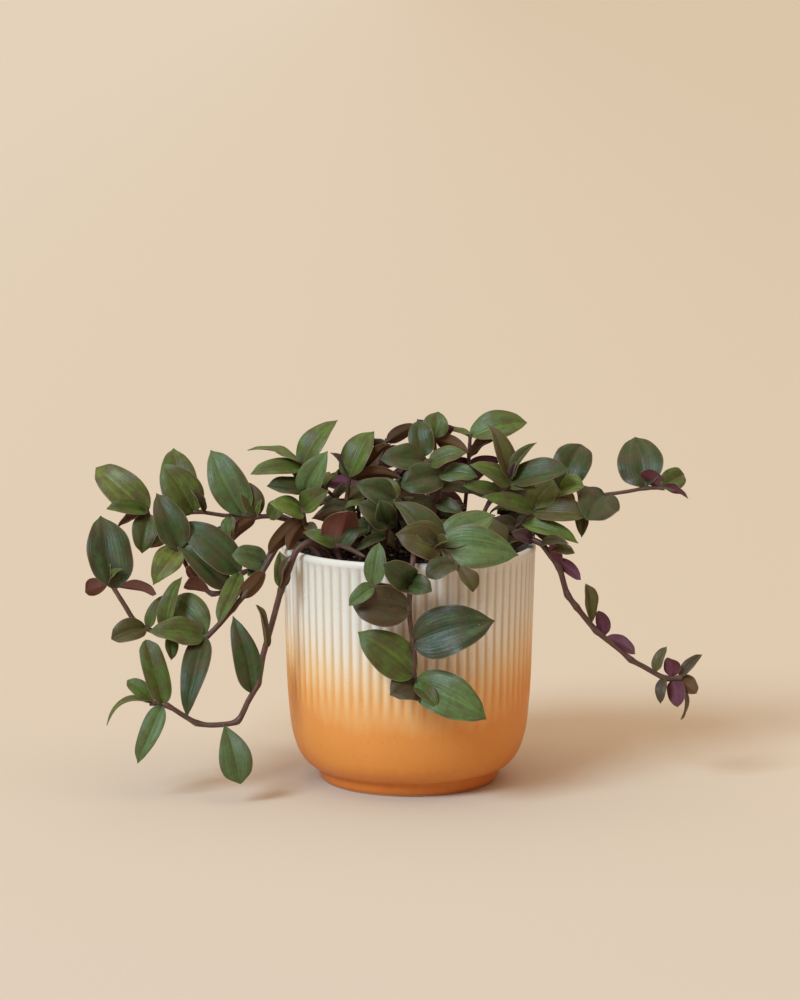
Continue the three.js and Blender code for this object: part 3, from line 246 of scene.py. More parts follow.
STEM_TABLE = """\
stem_left_low 1.65 -38 -26
run -50 120 -36, -56 116 -38, -60.5 105 -39, -64 96 -39 knot, -68.5 79.6 -40, -73.5 61.7 -43
on -76 47.9 -45 knot, -81 38.8 -46, -86.5 28.5 -47 knot, -100.5 26.5 -47, -107 27.5 -46 knot
on -114.5 32 -45, -122 36.7 -44 knot, -130 38 -43 knot
ge -64 96 -64.5 115.5 6 9.5 15 0.1 20
ne -64 96 -59.5 113.5 -4 8 60 0.05 40
ol -72.5 66 -75.5 88.5 -5 7.5 60 0.05 50
de -79 43 -89 82.5 8 13.5 10 0.08 15
tt -93.5 27.5 -85.5 -4 -13 17.5 10 0.12 15
gl -124 36.8 -132 70.5 8 13.5 15 0.06 18
gr -130 38 -142 49.5 4 9 20 0.1 20
ge -130 38 -152.5 26.5 -5 11 75 0.25 15
te -124 36.5 -138 7 -8 12 15 0.08 18
stem_left_middle 1.55 -44 -14
run -52 121 -14, -62 122 -18, -73.5 105.1 -24, -82 93.8 -27, -88.5 86.2 -28 knot, -102 71.9 -30 knot
on -112 70 -29, -122 73.4 -28 knot, -130.5 75.5 -26, -137.5 79.6 -25 knot, -142.5 87.7 -24
on -147.5 95.9 -22, -150.5 100.5 -21 knot
se -147.5 96 -153 134 16 24.5 10 0.1 12
ge -150.5 100.5 -149.5 110 1 5 30 0.02 50
rt -150.5 100.5 -162.5 95 -3 9.5 160 0.1 20
ge -150 100 -143.5 106.5 -5 7 60 0.1 30
rt -148 97 -126.5 93.5 -6 9.5 125 0.08 20
or -132 76 -149.5 70.5 -7 14 20 0.12 30
ge -131 75.5 -122 93.5 5 8 30 0.1 25
ge -122 73.5 -114 102.5 7 11 30 0.15 35
gr -102 72 -120.5 91 14 22.5 10 0.1 12
ge -103 71 -130.5 74.5 -8 16 25 0.1 20
de -103 71 -113 30.5 -24 15 15 0.1 15
ge -120 73 -119 60 -5 7 20 0.1 20
ke -84.5 91 -72.5 106 -8 9.5 170 0.1 15
stem_left_high 1.45 -46 -3
run -54 124 -5, -64 123 -8, -73.5 108 -11, -84.5 104 -13 knot, -90.5 95.9 -14 knot, -98.5 93.8 -15 knot
on -106.5 100 -15 knot, -112.5 110.2 -14, -115.5 117.3 -13 knot
de -84.5 104 -114.5 130 8 18 15 0.1 12
de -90.5 96 -117 120.5 3 15 20 0.1 15
ye -115.5 117 -129 99 -8 16 20 0.12 18
re -106 100 -111 108.5 -5 6 170 0.1 20
rt -98.5 94 -112.5 99 -8 9.5 150 0.1 25
de -115.5 117 -126 145 10 17.5 15 0.1 15
tr -73.5 110 -88.5 114 -6 14.5 25 0.1 15
de -76 106.5 -81 103 -6 6 20 0.1 20
de -72 110 -76 105 -6 5.5 30 0.1 20
gr -84.5 104 -96.5 78.5 -22 11 20 0.1 20
stem_left_top 1.3 -40 8
run -48 124 6, -60 131 5, -69.5 133.1 6, -75.5 133.1 5 knot, -82.5 133.6 5 knot, -92 133.6 5
on -106 135.5 4 knot, -115 133.8 4 knot
ge -115 133.5 -117.5 168 16 19 5 0.1 12
ge -107.5 135.4 -123.5 159.5 -7 20.5 10 0.1 12
ne -103 135 -108.5 146.5 -5 8 40 0.05 50
te -82.5 133.5 -98 167 10 20.5 5 0.1 12
oe -75.5 133 -83 151 5 12 15 0.1 18
be -75.5 133 -73.5 142 0 4.5 30 0.02 50
ge -89 133.5 -90.5 120.5 -5 8 20 0.1 20
ke -76 133 -89 120 -9 9 150 0.12 20
ge -70 133 -59 141.5 -5 10 20 0.12 18
stem_left_far 1.25 -34 20
run -48 126 18, -66 134 17, -82 131 16 knot, -104.5 124.4 17, -122 122.9 17 knot, -128.5 130.6 18
on -131 136.2 18 knot
yr -131 136 -156 158.5 10 19.5 10 0.1 12
gr -131 136 -151 137.5 -6 11 30 0.1 35
ke -131 135 -146.5 127 -7 8.5 120 0.1 20
ge -130 134 -134 114.5 -9 14.5 10 0.1 18
ge -123 123 -134.5 116 -6 5.5 30 0.1 20
ke -122 123 -131 117.5 5 7 170 0.1 20
pe -82 131 -94 148 12 13 150 0.1 15
ke -100 125.5 -112 112 9 12 140 0.12 15
stem_crown_left 1.4 -40 -14
run -50 124 -17, -53 133.6 -17 knot, -52 145.9 -15 knot, -53 159.1 -12 knot
ge -53 159 -35.5 181.5 8 15.5 38 0.15 15
ge -53 159 -80.5 166.5 4 14 75 0.12 15
ge -53 157 -79 155.5 -7 11 40 0.1 18
de -52 146 -71 149 -3 12 38 0.1 18
ge -52.5 150 -61 160.5 8 6 20 0.1 25
te -51.5 144.5 -40.5 166 -6 15.5 15 0.08 20
ge -53 137 -40.5 146.5 -7 13 25 0.1 30
be -53 134 -69.5 139.5 -8 12.5 38 0.1 15
ke -53 133 -71.5 114 -7 9 165 0.1 18
ke -52.5 131 -60.5 115.5 -11 8.5 165 0.1 20
ne -51.5 129 -45.5 124.5 -7 6 20 0.1 20
stem_crown_left_middle 1.25 -24 -8
run -28 126 -10, -31 142 -11 knot, -29.5 153.5 -10 knot
ge -29.5 153.5 -18.5 176.5 8 16.5 38 0.12 15
qe -29.5 153.5 -39 165.5 4 8.5 45 0.1 30
ke -29.5 153 -9.5 171 -3 9 145 0.1 20
ke -29.5 152 -3.5 152.5 -6 9 140 0.1 20
oe -31 142 -14 151.5 -9 9 170 0.1 18
de -28.5 129 -14 121 -8 12 50 0.15 12
oe -28.6 129 -44 121 -8 12 50 0.15 12
de -30 137 -46 134 6 12 60 0.15 12
stem_crown_middle 1.25 -14 -26
run -12 120 -28, -10.5 129 -31 knot, -7 142 -26 knot
de -7 142 -26.5 149 -4 15 25 0.1 15
ge -7 142 -13 153 5 10.5 10 0.1 18
de -10.5 129 -25.5 139.5 -5 15 25 0.1 15
de -10.5 129 -14 141.5 -7 12.5 10 0.1 15
de -11.5 123 -26.5 115 -9 6 30 0.1 20
stem_front_middle 1.4 13 -44
run 15 114 -50, 16 119 -56 knot
run 16 117 -55, 20 113 -61, 24.5 107.6 -67 knot
de 16 119 -7 141.5 8 18.5 38 0.1 12
oe 16 119 -6.5 123.5 -7 19 15 0.12 15
te 16 119 55 113.5 -2 22.5 15 0.12 12
te 15.5 117.5 43 134 12 18 30 0.1 15
oe 15.5 118.5 20 121.5 -13 9 65 0.1 45
dr 24.5 107.5 9 102 -6 13 38 0.12 20
ot 24.5 107.5 32.5 95 -9 11 38 0.12 20
stem_centre 1.35 9 -12
run 11 126 -12, 14 142 -13 knot, 16 153.5 -13 knot, 9 160 -11 knot, 6.5 164 -9 knot
de 8 161 -14.5 162.5 -6 16 25 0.1 15
dr 16 153.5 -4 147.5 -9 17 18 0.12 15
te 16 153.5 34 153 -7 13 38 0.1 18
ge 10 159 29 165 -4 13 38 0.1 18
dr 6.5 164 5 181.5 8 14 5 0.1 15
de 13.5 140 27 134 -9 9 30 0.1 20
de 11.5 128 -4 118.5 -8 12 50 0.15 12
oe 11.5 129 27 119.5 -8 12 50 0.15 12
de 13 136 -2 131 10 12 75 0.15 12
stem_centre_top 1.2 10 6
run 12 128 5, 14 152 5 knot, 12.5 173.4 4 knot
ge 12.5 173.5 14 186 4 13.5 5 0.1 18
pe 12.5 173.5 22.5 178 6 8 165 0.1 20
pe 12.5 173.5 4 182 7 8 165 0.1 20
ke 12.5 172 30 165.5 -6 9 160 0.1 20
pe 14 152 34 160 10 14 140 0.12 15
ke 14 150 -4 158 9 14 145 0.12 15
de 12.2 131 28 122 -4 13 50 0.15 12
oe 13 140 -3 133 -6 13 50 0.15 12
de 13.5 146 30 145 -8 13 60 0.15 12
stem_right_top 1.2 24 10
run 27 130 10, 29 150 11 knot, 30.5 174.4 12 knot
ge 30.5 174.5 58.5 181 4 16.5 38 0.12 15
ge 30.5 174 14.5 176 -4 9 75 0.1 20
pe 29 150 46 162 12 14 140 0.12 15
ke 29.5 162 42 172 8 11 120 0.12 15
de 27.2 132 44 123 -6 13 50 0.15 12
oe 27.8 139 14 130 -6 12 50 0.15 12
de 28.7 147 44 141 -8 13 50 0.15 12
stem_crown_right 1.25 30 -14
run 34 126 -14, 40.5 140.8 -13 knot, 50 147.4 -12, 51 152 -11 knot
oe 51 152 40.5 180 8 14 38 0.1 20
ge 51 152 63.5 170.5 3 11 35 0.1 45
qe 51 152 53.5 161 -3 6.5 30 0.02 50
de 51 151.5 80 157.5 -7 15.5 38 0.1 15
ge 50 148 64 147 -6 6 20 0.1 20
ge 50 149 30.5 160 -7 13 38 0.1 15
ge 46 144.5 26.5 148.5 -8 7.5 20 0.1 20
de 35 128 20 118.5 -8 12 50 0.15 12
oe 35.5 129 50 120 -8 12 50 0.15 12
stem_right_middle 1.35 40 -8
run 48 124 -9, 58 131 -9 knot, 62 135.7 -8 knot, 76.5 147 -6 knot
dr 76.5 147 86 169.5 14 20 5 0.1 12
br 76.5 147 87 148.5 -7 13.5 38 0.12 20
be 62 136 76 151.5 13 18.5 38 0.1 15
ge 62 136 36.5 143 -9 9.5 20 0.1 18
or 62 135 88.5 134 -8 15 38 0.1 15
be 56 129.5 85 120.5 -9 9.5 35 0.12 18
oe 58 131 78 114.5 -11 7.5 160 0.1 18
ne 54 128 38.5 129 -9 10 30 0.1 20
stem_right_upper 1.2 36 6
run 50 125 4, 66 131 3, 84 138.5 3 knot, 97.5 143.8 3 knot, 110.5 146 2, 118 147.4 2 knot
on 127 147.4 2 knot
dr 97.5 144 89 131.5 -22 22 5 0.12 12
oe 84 138 86 122.5 -9 9 20 0.1 20
de 118 147.5 112 173 20 23 0 0.1 10
gr 127 147.5 137 155 7 12 10 0.1 20
pe 126 147.5 115.5 156 -7 9 150 0.1 25
pe 127 147.5 139.3 142.5 -7 9 120 0.1 20
pe 97.5 144 92 138 24 15 140 0.12 15
ge 84 138.5 88 141 22 15 0 0.15 12
stem_right_trailing 1.65 46 -12
run 53.5 119 -12, 60.5 121.5 -12, 66.5 119 -14, 70.5 113.7 -15, 75 107.6 -16 knot, 79.5 93.3 -17 knot
on 84 87.2 -18 knot, 94 75 -19 knot, 106.5 64.8 -20, 111.5 60.2 -20 knot, 118 56.6 -20
on 129.5 50.5 -20 knot, 137 51 -20 knot
pe 75 107.5 72 119 -7 6 160 0.1 25
pe 72 111.5 86 100.5 -7 7 160 0.1 25
ot 92 78 89.5 99 -5 9.5 30 0.08 30
pe 98 72 95 85.5 -6 8.5 160 0.1 25
pe 98.5 71.5 114 63 -8 8.5 150 0.1 25
oe 124 53.5 129.5 67 4 7 30 0.1 20
pe 132.5 50.7 135.5 35.5 -8 10 165 0.1 20
ne 137 51 147.5 63 4 6.5 20 0.1 25
ke 137 51 145.3 43 -6 9.5 165 0.12 20
ot 134.5 51 137.5 29 5 8 75 0.12 25
ne 128 51 127 37.5 -6 6 15 0.1 20
pe 131.5 50.6 131.7 61.2 -7 9.5 165 0.1 20
ot 68.5 117 82.5 114.5 -6 7 30 0.1 20
ne 66.5 119 79 120.5 -4 6.5 40 0.1 20
re 56 120 41 129 -8 6.5 150 0.1 20
ne 59 121 46.5 117.5 -9 8 60 0.1 20
qe 62 121 51 124.5 -8 7.5 20 0.1 20
stem_front_trailing 1.45 2 -45
run 3 117 -55, 2 111 -66, 1 101.5 -69 knot, 0.5 94.9 -70 knot, 0 85.7 -71 knot, 2 68.9 -71 knot
on 3 60.7 -70, 2.5 52.5 -69 knot, 4.5 45.9 -68 knot
run 0.5 94.9 -70, -14.5 98.4 -74, -19 97.4 -76 knot
nr 0 85.7 -28 88.5 -6 21 10 0.1 12
se 2 69 43 79.5 -3 26.5 10 0.1 10
ge 2.5 52.5 -25.5 74 -3 20.5 10 0.1 12
te 3.5 49 39 30 -9 22.5 10 0.12 12
ne 4.5 46 -9.5 42 -10 18.5 20 0.12 15
ge 4.5 46 14.5 35.5 -13 10 15 0.12 35
te -19 97.5 -15 120 4 11 10 0.1 18
te -19 97.5 -30.5 88 -7 9.5 20 0.1 20
dr 0.8 100 -12.5 109 -11 15.5 0 0.15 25
dr 1 99 11.3 95.5 -11 11.5 10 0.15 20
stem_left_short 1.4 -33 -34
run -36 118 -36 knot, -29.5 116.5 -42, -22 112.5 -49
re -36 118 -31 137 -13 19.5 165 0.1 12
ge -36 118 -53 125 0 8.5 25 0.1 20
de -35 118 -25 130.5 3 11 20 0.1 20
stem_inner_left 1.2 -24 10
run -27 130 8, -34 140 6 knot, -43 148 2 knot
de -35 141 -37 143 22 15 0 0.15 12
ge -32 138 -28 142 -20 14 0 0.15 12
te -43 148 -60 151 6 15 75 0.15 12
ge -42 147 -44 151 20 14 0 0.15 12
de -36 142 -22 148 8 14 80 0.15 12
ge -41 146 -33 155 14 14 75 0.15 12
te -30 135 -46 138 14 14 80 0.15 12
de -29 134 -14 137 -5 13 80 0.15 12
de -27 131 -44 120 -8 13 50 0.15 12
oe -27 131 -12 121 -6 12 50 0.15 12
stem_inner_middle 1.2 -6 12
run -5 130 13, -6 146 14 knot, 0 160 12 knot
ge -6 146 -12 148 -22 15 0 0.15 12
de -6 146 -20 152 6 14 80 0.15 12
te 0 160 2 164 20 14 0 0.15 12
ge -1 158 4 161 -18 14 0 0.15 12
de -3 152 14 158 6 14 80 0.15 12
se -5.5 143 -8 149 24 14 0 0.15 12
ge -5.3 138 -20 139 -9 14 80 0.15 12
de -5.2 136 10 140 9 14 80 0.15 12
de -5 131 -22 120 -8 13 50 0.15 12
oe -5 131 12 119 -8 13 50 0.15 12
stem_inner_right 1.2 46 16
run 51 130 16, 58 142 16 knot, 66 152 14 knot
ge 58 142 62 145 20 15 0 0.15 12
de 57 141 50 146 -20 14 0 0.15 12
ge 66 152 70 156 -16 13 0 0.15 12
te 58 142 44 150 8 15 80 0.15 12
de 65 151 80 152 8 14 80 0.15 12
ge 60 145 74 144 -5 14 80 0.15 12
se 64 150 63 157 18 13 0 0.15 12
de 54 135 40 135 6 13 80 0.15 12
de 51 131 36 120 -10 13 50 0.15 12
oe 51.5 132 63 123 -8 12 50 0.15 12
stem_inner_front 1.3 -22 -20
run -20 126 -20, -17 137 -17 knot
de -17 136 -18 139 -20 14 0 0.15 12
ge -17 136 -32 138 -6 14 75 0.15 12
te -17 136 -2 138 -6 14 75 0.15 12
de -18 134 -14 141 18 13 0 0.15 12
de -20 127 -34 117.5 -8 12 50 0.15 12
oe -20 127 -7 117 -9 12 50 0.15 12
stem_back_left 1.3 -22 24
run -25 128 23, -24 146 22 knot, -15 160 20 knot, -11 171.5 17 knot
ke -11 171.5 4 179 -5 8 165 0.1 18
pe -24 146 -46 150 14 15 150 0.12 15
ke -15 160 -34 164 14 14 145 0.12 15
pe -24 144 -8 148 20 15 140 0.12 12
ke -15 160 2 162 16 14 150 0.12 15
ke -25 130 -48 132 18 16 140 0.12 12
ke -11 171.5 -16 167 16 11 130 0.12 15
ge -24 142 -28 147 -18 13 0 0.15 12
de -25 129 -40 119 -10 14 40 0.15 12
oe -25 129 -10 119 -12 14 40 0.15 12
stem_back_middle 1.35 4 34
run 6 128 36, 9 142 42 knot, 12 152 48 knot
pe 12 152 14 162 22 16 170 0.12 12
ke 12 152 30 152 18 15 150 0.12 12
pe 12 152 -8 156 16 14 150 0.12 12
ke 9 142 -12 138 20 16 140 0.12 12
pe 9 142 28 136 20 16 140 0.12 12
ke 7 130 8 124 26 15 170 0.12 12
de 6.5 130 -10 121 -14 14 40 0.15 12
oe 6.5 130 22 120 -14 14 40 0.15 12
de 8 137 25 130 -16 14 30 0.15 12
de 8 137 -9 131 -16 14 30 0.15 12
stem_back_right 1.3 32 26
run 40 128 28, 54 139 31 knot, 66 146 33 knot
pe 66 146 82 156 14 15 140 0.12 12
ke 66 146 84 140 12 15 140 0.12 12
pe 66 146 60 158 18 14 150 0.12 12
pe 54 139 40 150 18 14 150 0.12 12
ke 54 139 62 124 18 15 150 0.12 12
pe 42 130 36 122 22 14 160 0.12 12
ge 50 136 48 141 -18 13 0 0.15 12
de 41 129 28 119 -12 14 40 0.15 12
oe 44 131 60 124 -10 14 40 0.15 12
de 48 134 62 134 -14 13 30 0.15 12
stem_back_left_trailing 1.5 -26 40
run -34.5 133 50, -39 129 56, -40 113 59 knot, -38 96 60, -41 79 62 knot, -37 62 64 knot
pe -40 113 -54 106 14 16 150 0.12 12
ke -40 113 -26 118 16 15 150 0.12 12
pe -38 96 -24 92 14 15 150 0.12 12
pe -41 79 -56 86 12 15 150 0.12 12
ke -41 79 -50 62 12 14 160 0.12 12
pe -37 62 -22 66 12 13 150 0.12 12
pe -37 62 -36 40 10 13 175 0.12 12
stem_back_right_trailing 1.5 28 42
run 36.8 133 50, 41 129 56, 42.5 109.9 58 knot, 39.5 94.7 60, 43.4 81.2 61 knot, 40.5 70 63 knot
pe 42.5 110 56 104 14 15 150 0.12 12
pe 42.5 110 28 118 16 15 150 0.12 12
ke 39.5 94.7 26 86 14 14 150 0.12 12
pe 43.4 81.2 56 88 12 14 150 0.12 12
ke 40.5 70 52 56 12 13 160 0.12 12
pe 40.5 70 28 60 10 13 160 0.12 12
"""


def read_stems(table):
    """The stems that a table describes."""
    stems = []
    for line in table.splitlines():
        kind, rest = line.split(" ", 1)
        if kind.startswith("stem"):
            radius, *root = map(float, rest.split())
            stems.append({"name": kind, "radius": radius, "root": root, "runs": [], "leaves": []})
        elif kind in ("run", "on"):
            if kind == "run":
                stems[-1]["runs"].append([])
            for point in rest.split(", "):
                right, up, back, *knot = point.split()
                stems[-1]["runs"][-1].append((float(right), float(up), float(back), bool(knot)))
        else:
            look, form = kind
            stems[-1]["leaves"].append((look, form, [float(value) for value in rest.split()]))
    return stems


# ---------------- places


def seen(right, up, back):
    """The point that the front view shows `right` and `up` from the middle of the foot, on the
    upright plane through the pot's axis, and that lies `back` behind that plane."""
    reach = (back - EYE.y) / -EYE.y
    return Vector((EYE.x + (right - EYE.x) * reach, back, EYE.z + (up - EYE.z) * reach))


def smooth_line(points, step, pull):
    """Points about a step apart on a line that bends smoothly through the given ones. A low
    pull keeps the runs between them straight."""
    last = len(points) - 1
    headings = []
    for i, here in enumerate(points):
        came = here - points[max(0, i - 1)]
        goes = points[min(last, i + 1)] - here
        headings.append((came.normalized() + goes.normalized()).normalized())
    line = []
    for i in range(last):
        start, end = points[i], points[i + 1]
        reach = (end - start).length * pull
        count = max(1, round((end - start).length / step))
        for k in range(count):
            t = k / count
            line.append(
                start * (2 * t**3 - 3 * t**2 + 1)
                + headings[i] * (reach * (t**3 - 2 * t**2 + t))
                + end * (3 * t**2 - 2 * t**3)
                + headings[i + 1] * (reach * (t**3 - t**2))
            )
    return [*line, points[-1].copy()]


def eased(value, low, high):
    """0 below low, 1 above high, and a smooth rise between."""
    share = min(1, max(0, (value - low) / (high - low)))
    return share * share * (3 - 2 * share)


# ---------------- shader nodes


class Nodes:
    """Adds shader nodes to a tree. Most of its methods give the socket of a result."""

    def __init__(self, tree):
        self.tree = tree

    def new(self, kind):
        return self.tree.nodes.new("ShaderNode" + kind)

    def feed(self, socket, value):
        """Links a socket's value, or sets it."""
        if isinstance(value, bpy.types.NodeSocket):
            self.tree.links.new(value, socket)
        else:
            socket.default_value = value

    def fed(self, node, *values):
        """Feeds a node's first inputs in order, and gives its first output."""
        for socket, value in zip(node.inputs, values):
            self.feed(socket, value)
        return node.outputs[0]

    def named(self, node, **values):
        """Feeds a node's inputs by name, and gives all its outputs."""
        for name, value in values.items():
            self.feed(node.inputs[name], value)
        return node.outputs

    def sums(self, operation, *values):
        """A Math node's result."""
        node = self.new("Math")
        node.operation = operation
        return self.fed(node, *values)

    def times(self, first, second):
        return self.sums("MULTIPLY", first, second)

    def plus(self, first, second):
        return self.sums("ADD", first, second)

    def scaled(self, value, factor, offset):
        """A value times a factor, plus an offset."""
        return self.sums("MULTIPLY_ADD", value, factor, offset)

    def between(self, value, low, high, to_low=0.0, to_high=1.0):
        """A value between low and high, spread smoothly over to_low to to_high."""
        node = self.new("MapRange")
        node.interpolation_type = "SMOOTHSTEP"
        return self.fed(node, value, low, high, to_low, to_high)

    def mix(self, share, first, second, blend="MIX"):
        """Two colours mixed."""
        node = self.new("Mix")
        node.data_type = "RGBA"
        node.blend_type = blend
        for index, value in ((0, share), (6, first), (7, second)):
            self.feed(node.inputs[index], value)
        return node.outputs[2]

    def tint(self, shade, red, green, blue):
        """A colour with its channels multiplied."""
        return self.mix(1.0, shade, (red, green, blue, 1), "MULTIPLY")

    def layered(self, base, *layers):
        """A colour with others laid over it in order, each given as (share, colour)."""
        for share, shade in layers:
            base = self.mix(share, base, shade)
        return base

    def grain(self, vector, scale, detail=3.0, roughness=0.55):
        """Soft noise between 0 and 1."""
        node = self.new("TexNoise")
        return self.named(node, Vector=vector, Scale=scale, Detail=detail, Roughness=roughness)[0]

    def parts(self, value, kind="XYZ"):
        """A vector's axes, or a colour's channels where the kind is Color."""
        node = self.new("Separate" + kind)
        self.fed(node, value)
        return node.outputs

    def stretched(self, vector, scale, shift=0.0):
        """A vector stretched by a factor for each axis, and shifted along Z."""
        x, y, z = (self.times(part, factor) for part, factor in zip(self.parts(vector), scale))
        return self.fed(self.new("CombineXYZ"), x, y, self.plus(z, shift))

    def bands(self, value, stops):
        """Colours along a value from 0 to 1, as (place, colour) pairs."""
        node = self.new("ValToRGB")
        elements = node.color_ramp.elements
        for element, (place, shade) in zip(elements, (stops[0], stops[-1])):
            element.position = place
            element.color = shade
        for place, shade in stops[1:-1]:
            elements.new(place).color = shade
        return self.fed(node, value)

    def bump(self, height, strength, distance):
        """A normal from a height."""
        node = self.new("Bump")
        return self.named(node, Strength=strength, Distance=distance, Height=height)[0]

    def attribute(self, name, output):
        node = self.new("Attribute")
        node.attribute_name = name
        return node.outputs[output]

    def coordinates(self, output):
        return self.new("TexCoord").outputs[output]

    def group(self, tree, **values):
        """A node group with its inputs fed by name, as its outputs."""
        node = self.new("Group")
        node.node_tree = tree
        return self.named(node, **values)


class Finish(Nodes):
    """A new material with a Principled shader, whose constant inputs are given by name."""

    def __init__(self, name, **constants):
        self.material = bpy.data.materials.new(name)
        self.material.use_nodes = True
        super().__init__(self.material.node_tree)
        self.surface = self.tree.nodes["Principled BSDF"].inputs
        for socket, value in constants.items():
            self.surface[socket.replace("_", " ")].default_value = value

    def finished(self, base, roughness, normal):
        """Feeds the shader, and gives the material."""
        for socket, value in (("Base Color", base), ("Roughness", roughness), ("Normal", normal)):
            self.feed(self.surface[socket], value)
        return self.material


def blade_marks_group():
    """The marks that run along a blade, from its UV: across it from 0 to 1, and along it."""
    group = bpy.data.node_groups.new("blade_marks", "ShaderNodeTree")
    group.interface.new_socket("Blade", in_out="INPUT", socket_type="NodeSocketVector")
    group.interface.new_socket("Seed", in_out="INPUT", socket_type="NodeSocketFloat")
    for mark in ("Streaks", "Threads", "Lines", "Bands", "Midrib", "Flush", "Margin", "Veins"):
        group.interface.new_socket(mark, in_out="OUTPUT", socket_type="NodeSocketFloat")
    blade, seed = group.nodes.new("NodeGroupInput").outputs[:2]
    nodes = Nodes(group)
    shift = nodes.times(seed, 60.0)

    def grain_along(across, lengthwise, detail):
        """Noise stretched along the blade, with higher numbers for finer noise."""
        return nodes.grain(nodes.stretched(blade, (across, lengthwise, 1.0), shift), 1.0, detail)

    from_middle = nodes.sums("ABSOLUTE", nodes.sums("SUBTRACT", nodes.parts(blade)[0], 0.5))
    across = nodes.times(from_middle, 2.0)
    patches = grain_along(3.0, 3.2, 4.0)
    off_band = nodes.sums("ABSOLUTE", nodes.sums("SUBTRACT", across, 0.46))
    band = nodes.between(off_band, 0.0, 0.36, 1.0, 0.0)
    flush = nodes.between(across, 0.72, 0.96)
    ripple = nodes.sums("SINE", nodes.times(across, 44.0))
    nodes.named(
        group.nodes.new("NodeGroupOutput"),
        Streaks=nodes.between(grain_along(13.0, 1.5, 3.0), 0.42, 0.68),
        Threads=nodes.between(grain_along(60.0, 2.6, 2.0), 0.35, 0.7),
        Lines=nodes.between(grain_along(34.0, 1.3, 1.0), 0.6, 0.72),
        Bands=nodes.times(band, nodes.between(patches, 0.36, 0.62)),
        Midrib=nodes.between(across, 0.0, 0.06, 1.0, 0.0),
        Flush=nodes.times(flush, nodes.between(patches, 0.35, 0.6)),
        Margin=nodes.between(across, 0.94, 0.99),
        Veins=nodes.scaled(ripple, 0.5, 0.5),
    )
    return group


# ---------------- finishes


def glaze_finish():
    """Satin glaze, cream at the rim and orange at the foot, that pools tan in the grooves. Its
    colours sit higher at the left and right sides that the front view shows, as painted shade
    that darkens the wall towards its outline."""
    nodes = Finish("ombre_glaze", Specular_IOR_Level=0.25)
    place = nodes.coordinates("Object")
    x, _, z = nodes.parts(place)
    groove = nodes.attribute("groove", "Fac")
    cloudy = nodes.grain(place, 28.0, 4.0)
    runs = nodes.grain(nodes.stretched(place, (260.0, 260.0, 22.0)), 1.0, 3.0)
    wander = nodes.scaled(nodes.plus(cloudy, runs), 0.011, -0.011)
    sunk = nodes.scaled(groove, -0.012, wander)
    # painted shade: lowering the level towards the left and right edges brings the orange higher there,
    # darkening the wall towards its outline
    sides = nodes.times(nodes.sums("POWER", nodes.sums("ABSOLUTE", x), 4.0), -1000.0)
    level = nodes.plus(z, nodes.plus(sunk, sides))
    share = nodes.sums("DIVIDE", level, POT_HEIGHT * MM)
    pooled = nodes.times(nodes.between(groove, 0.25, 1.0, 0.0, 0.5), nodes.between(share, 0.3, 0.55))
    tinted = nodes.mix(pooled, nodes.bands(share, GLAZE_BANDS), colour(166, 138, 104))
    clouds = nodes.between(cloudy, 0.3, 0.75, 0.0, 0.3)
    specks = nodes.between(nodes.grain(place, 900.0, 1.0), 0.7, 0.78, 0.0, 0.35)
    unglazed = nodes.between(z, 0.0004, 0.001, 0.85, 0.0)
    base = nodes.layered(
        nodes.mix(clouds, tinted, (0.9, 0.86, 0.8, 1), "MULTIPLY"),
        (specks, colour(150, 104, 66)),
        (unglazed, colour(214, 190, 158)),
    )
    roughness = nodes.between(cloudy, 0.2, 0.8, 0.34, 0.5)
    peel = nodes.grain(place, 420.0, 2.0)
    return nodes.finished(base, roughness, nodes.bump(nodes.plus(peel, runs), 0.25, 0.0002))


def leaf_finish(marks):
    """The upper face of a leaf: streaked along its veins, with a pale thin margin."""
    nodes = Finish("leaf_top", Specular_IOR_Level=0.36, Sheen_Weight=0.03, Sheen_Roughness=0.4)
    silvery, blotched, seed = nodes.parts(nodes.attribute("leaf_traits", "Color"), "Color")
    tone = nodes.attribute("leaf_tone", "Color")
    place = nodes.coordinates("Object")
    found = nodes.group(marks, Blade=nodes.coordinates("UV"), Seed=seed)
    dark = nodes.tint(tone, 0.5, 0.46, 0.5)
    pale = nodes.tint(tone, 1.8, 1.75, 1.6)
    banded = nodes.layered(
        tone,
        (nodes.times(found["Threads"], 0.35), dark),
        (nodes.times(found["Streaks"], 0.4), pale),
        (nodes.times(nodes.times(found["Bands"], silvery), 0.65), colour(100, 116, 76)),
    )
    mottle = nodes.grain(place, 420.0, 4.0, 0.65)
    clouds = nodes.between(nodes.grain(place, 150.0, 4.0), 0.4, 0.6)
    specks = nodes.between(nodes.grain(place, 620.0, 1.0), 0.78, 0.82, 0.0, 0.7)
    base = nodes.layered(
        banded,
        (nodes.between(mottle, 0.48, 0.66, 0.0, 0.7), nodes.tint(banded, 0.82, 1.22, 1.0)),
        (nodes.between(mottle, 0.32, 0.46, 0.55, 0.0), dark),
        (nodes.times(nodes.times(clouds, blotched), 0.95), colour(82, 62, 42)),
        (nodes.times(found["Lines"], 0.4), pale),
        (nodes.times(found["Midrib"], 0.4), pale),
        (nodes.times(found["Flush"], 0.5), colour(82, 54, 40)),
        (nodes.times(found["Margin"], 0.5), colour(142, 132, 92)),
        (nodes.times(specks, silvery), colour(176, 184, 168)),
    )
    roughness = nodes.between(found["Threads"], 0.0, 1.0, 0.38, 0.5)
    grooves = nodes.scaled(found["Midrib"], -1.6, found["Veins"])
    swells = nodes.scaled(nodes.grain(place, 240.0, 2.0), 5.0, grooves)
    relief = nodes.plus(swells, found["Threads"])
    return nodes.finished(base, roughness, nodes.bump(relief, 0.36, 0.00012))


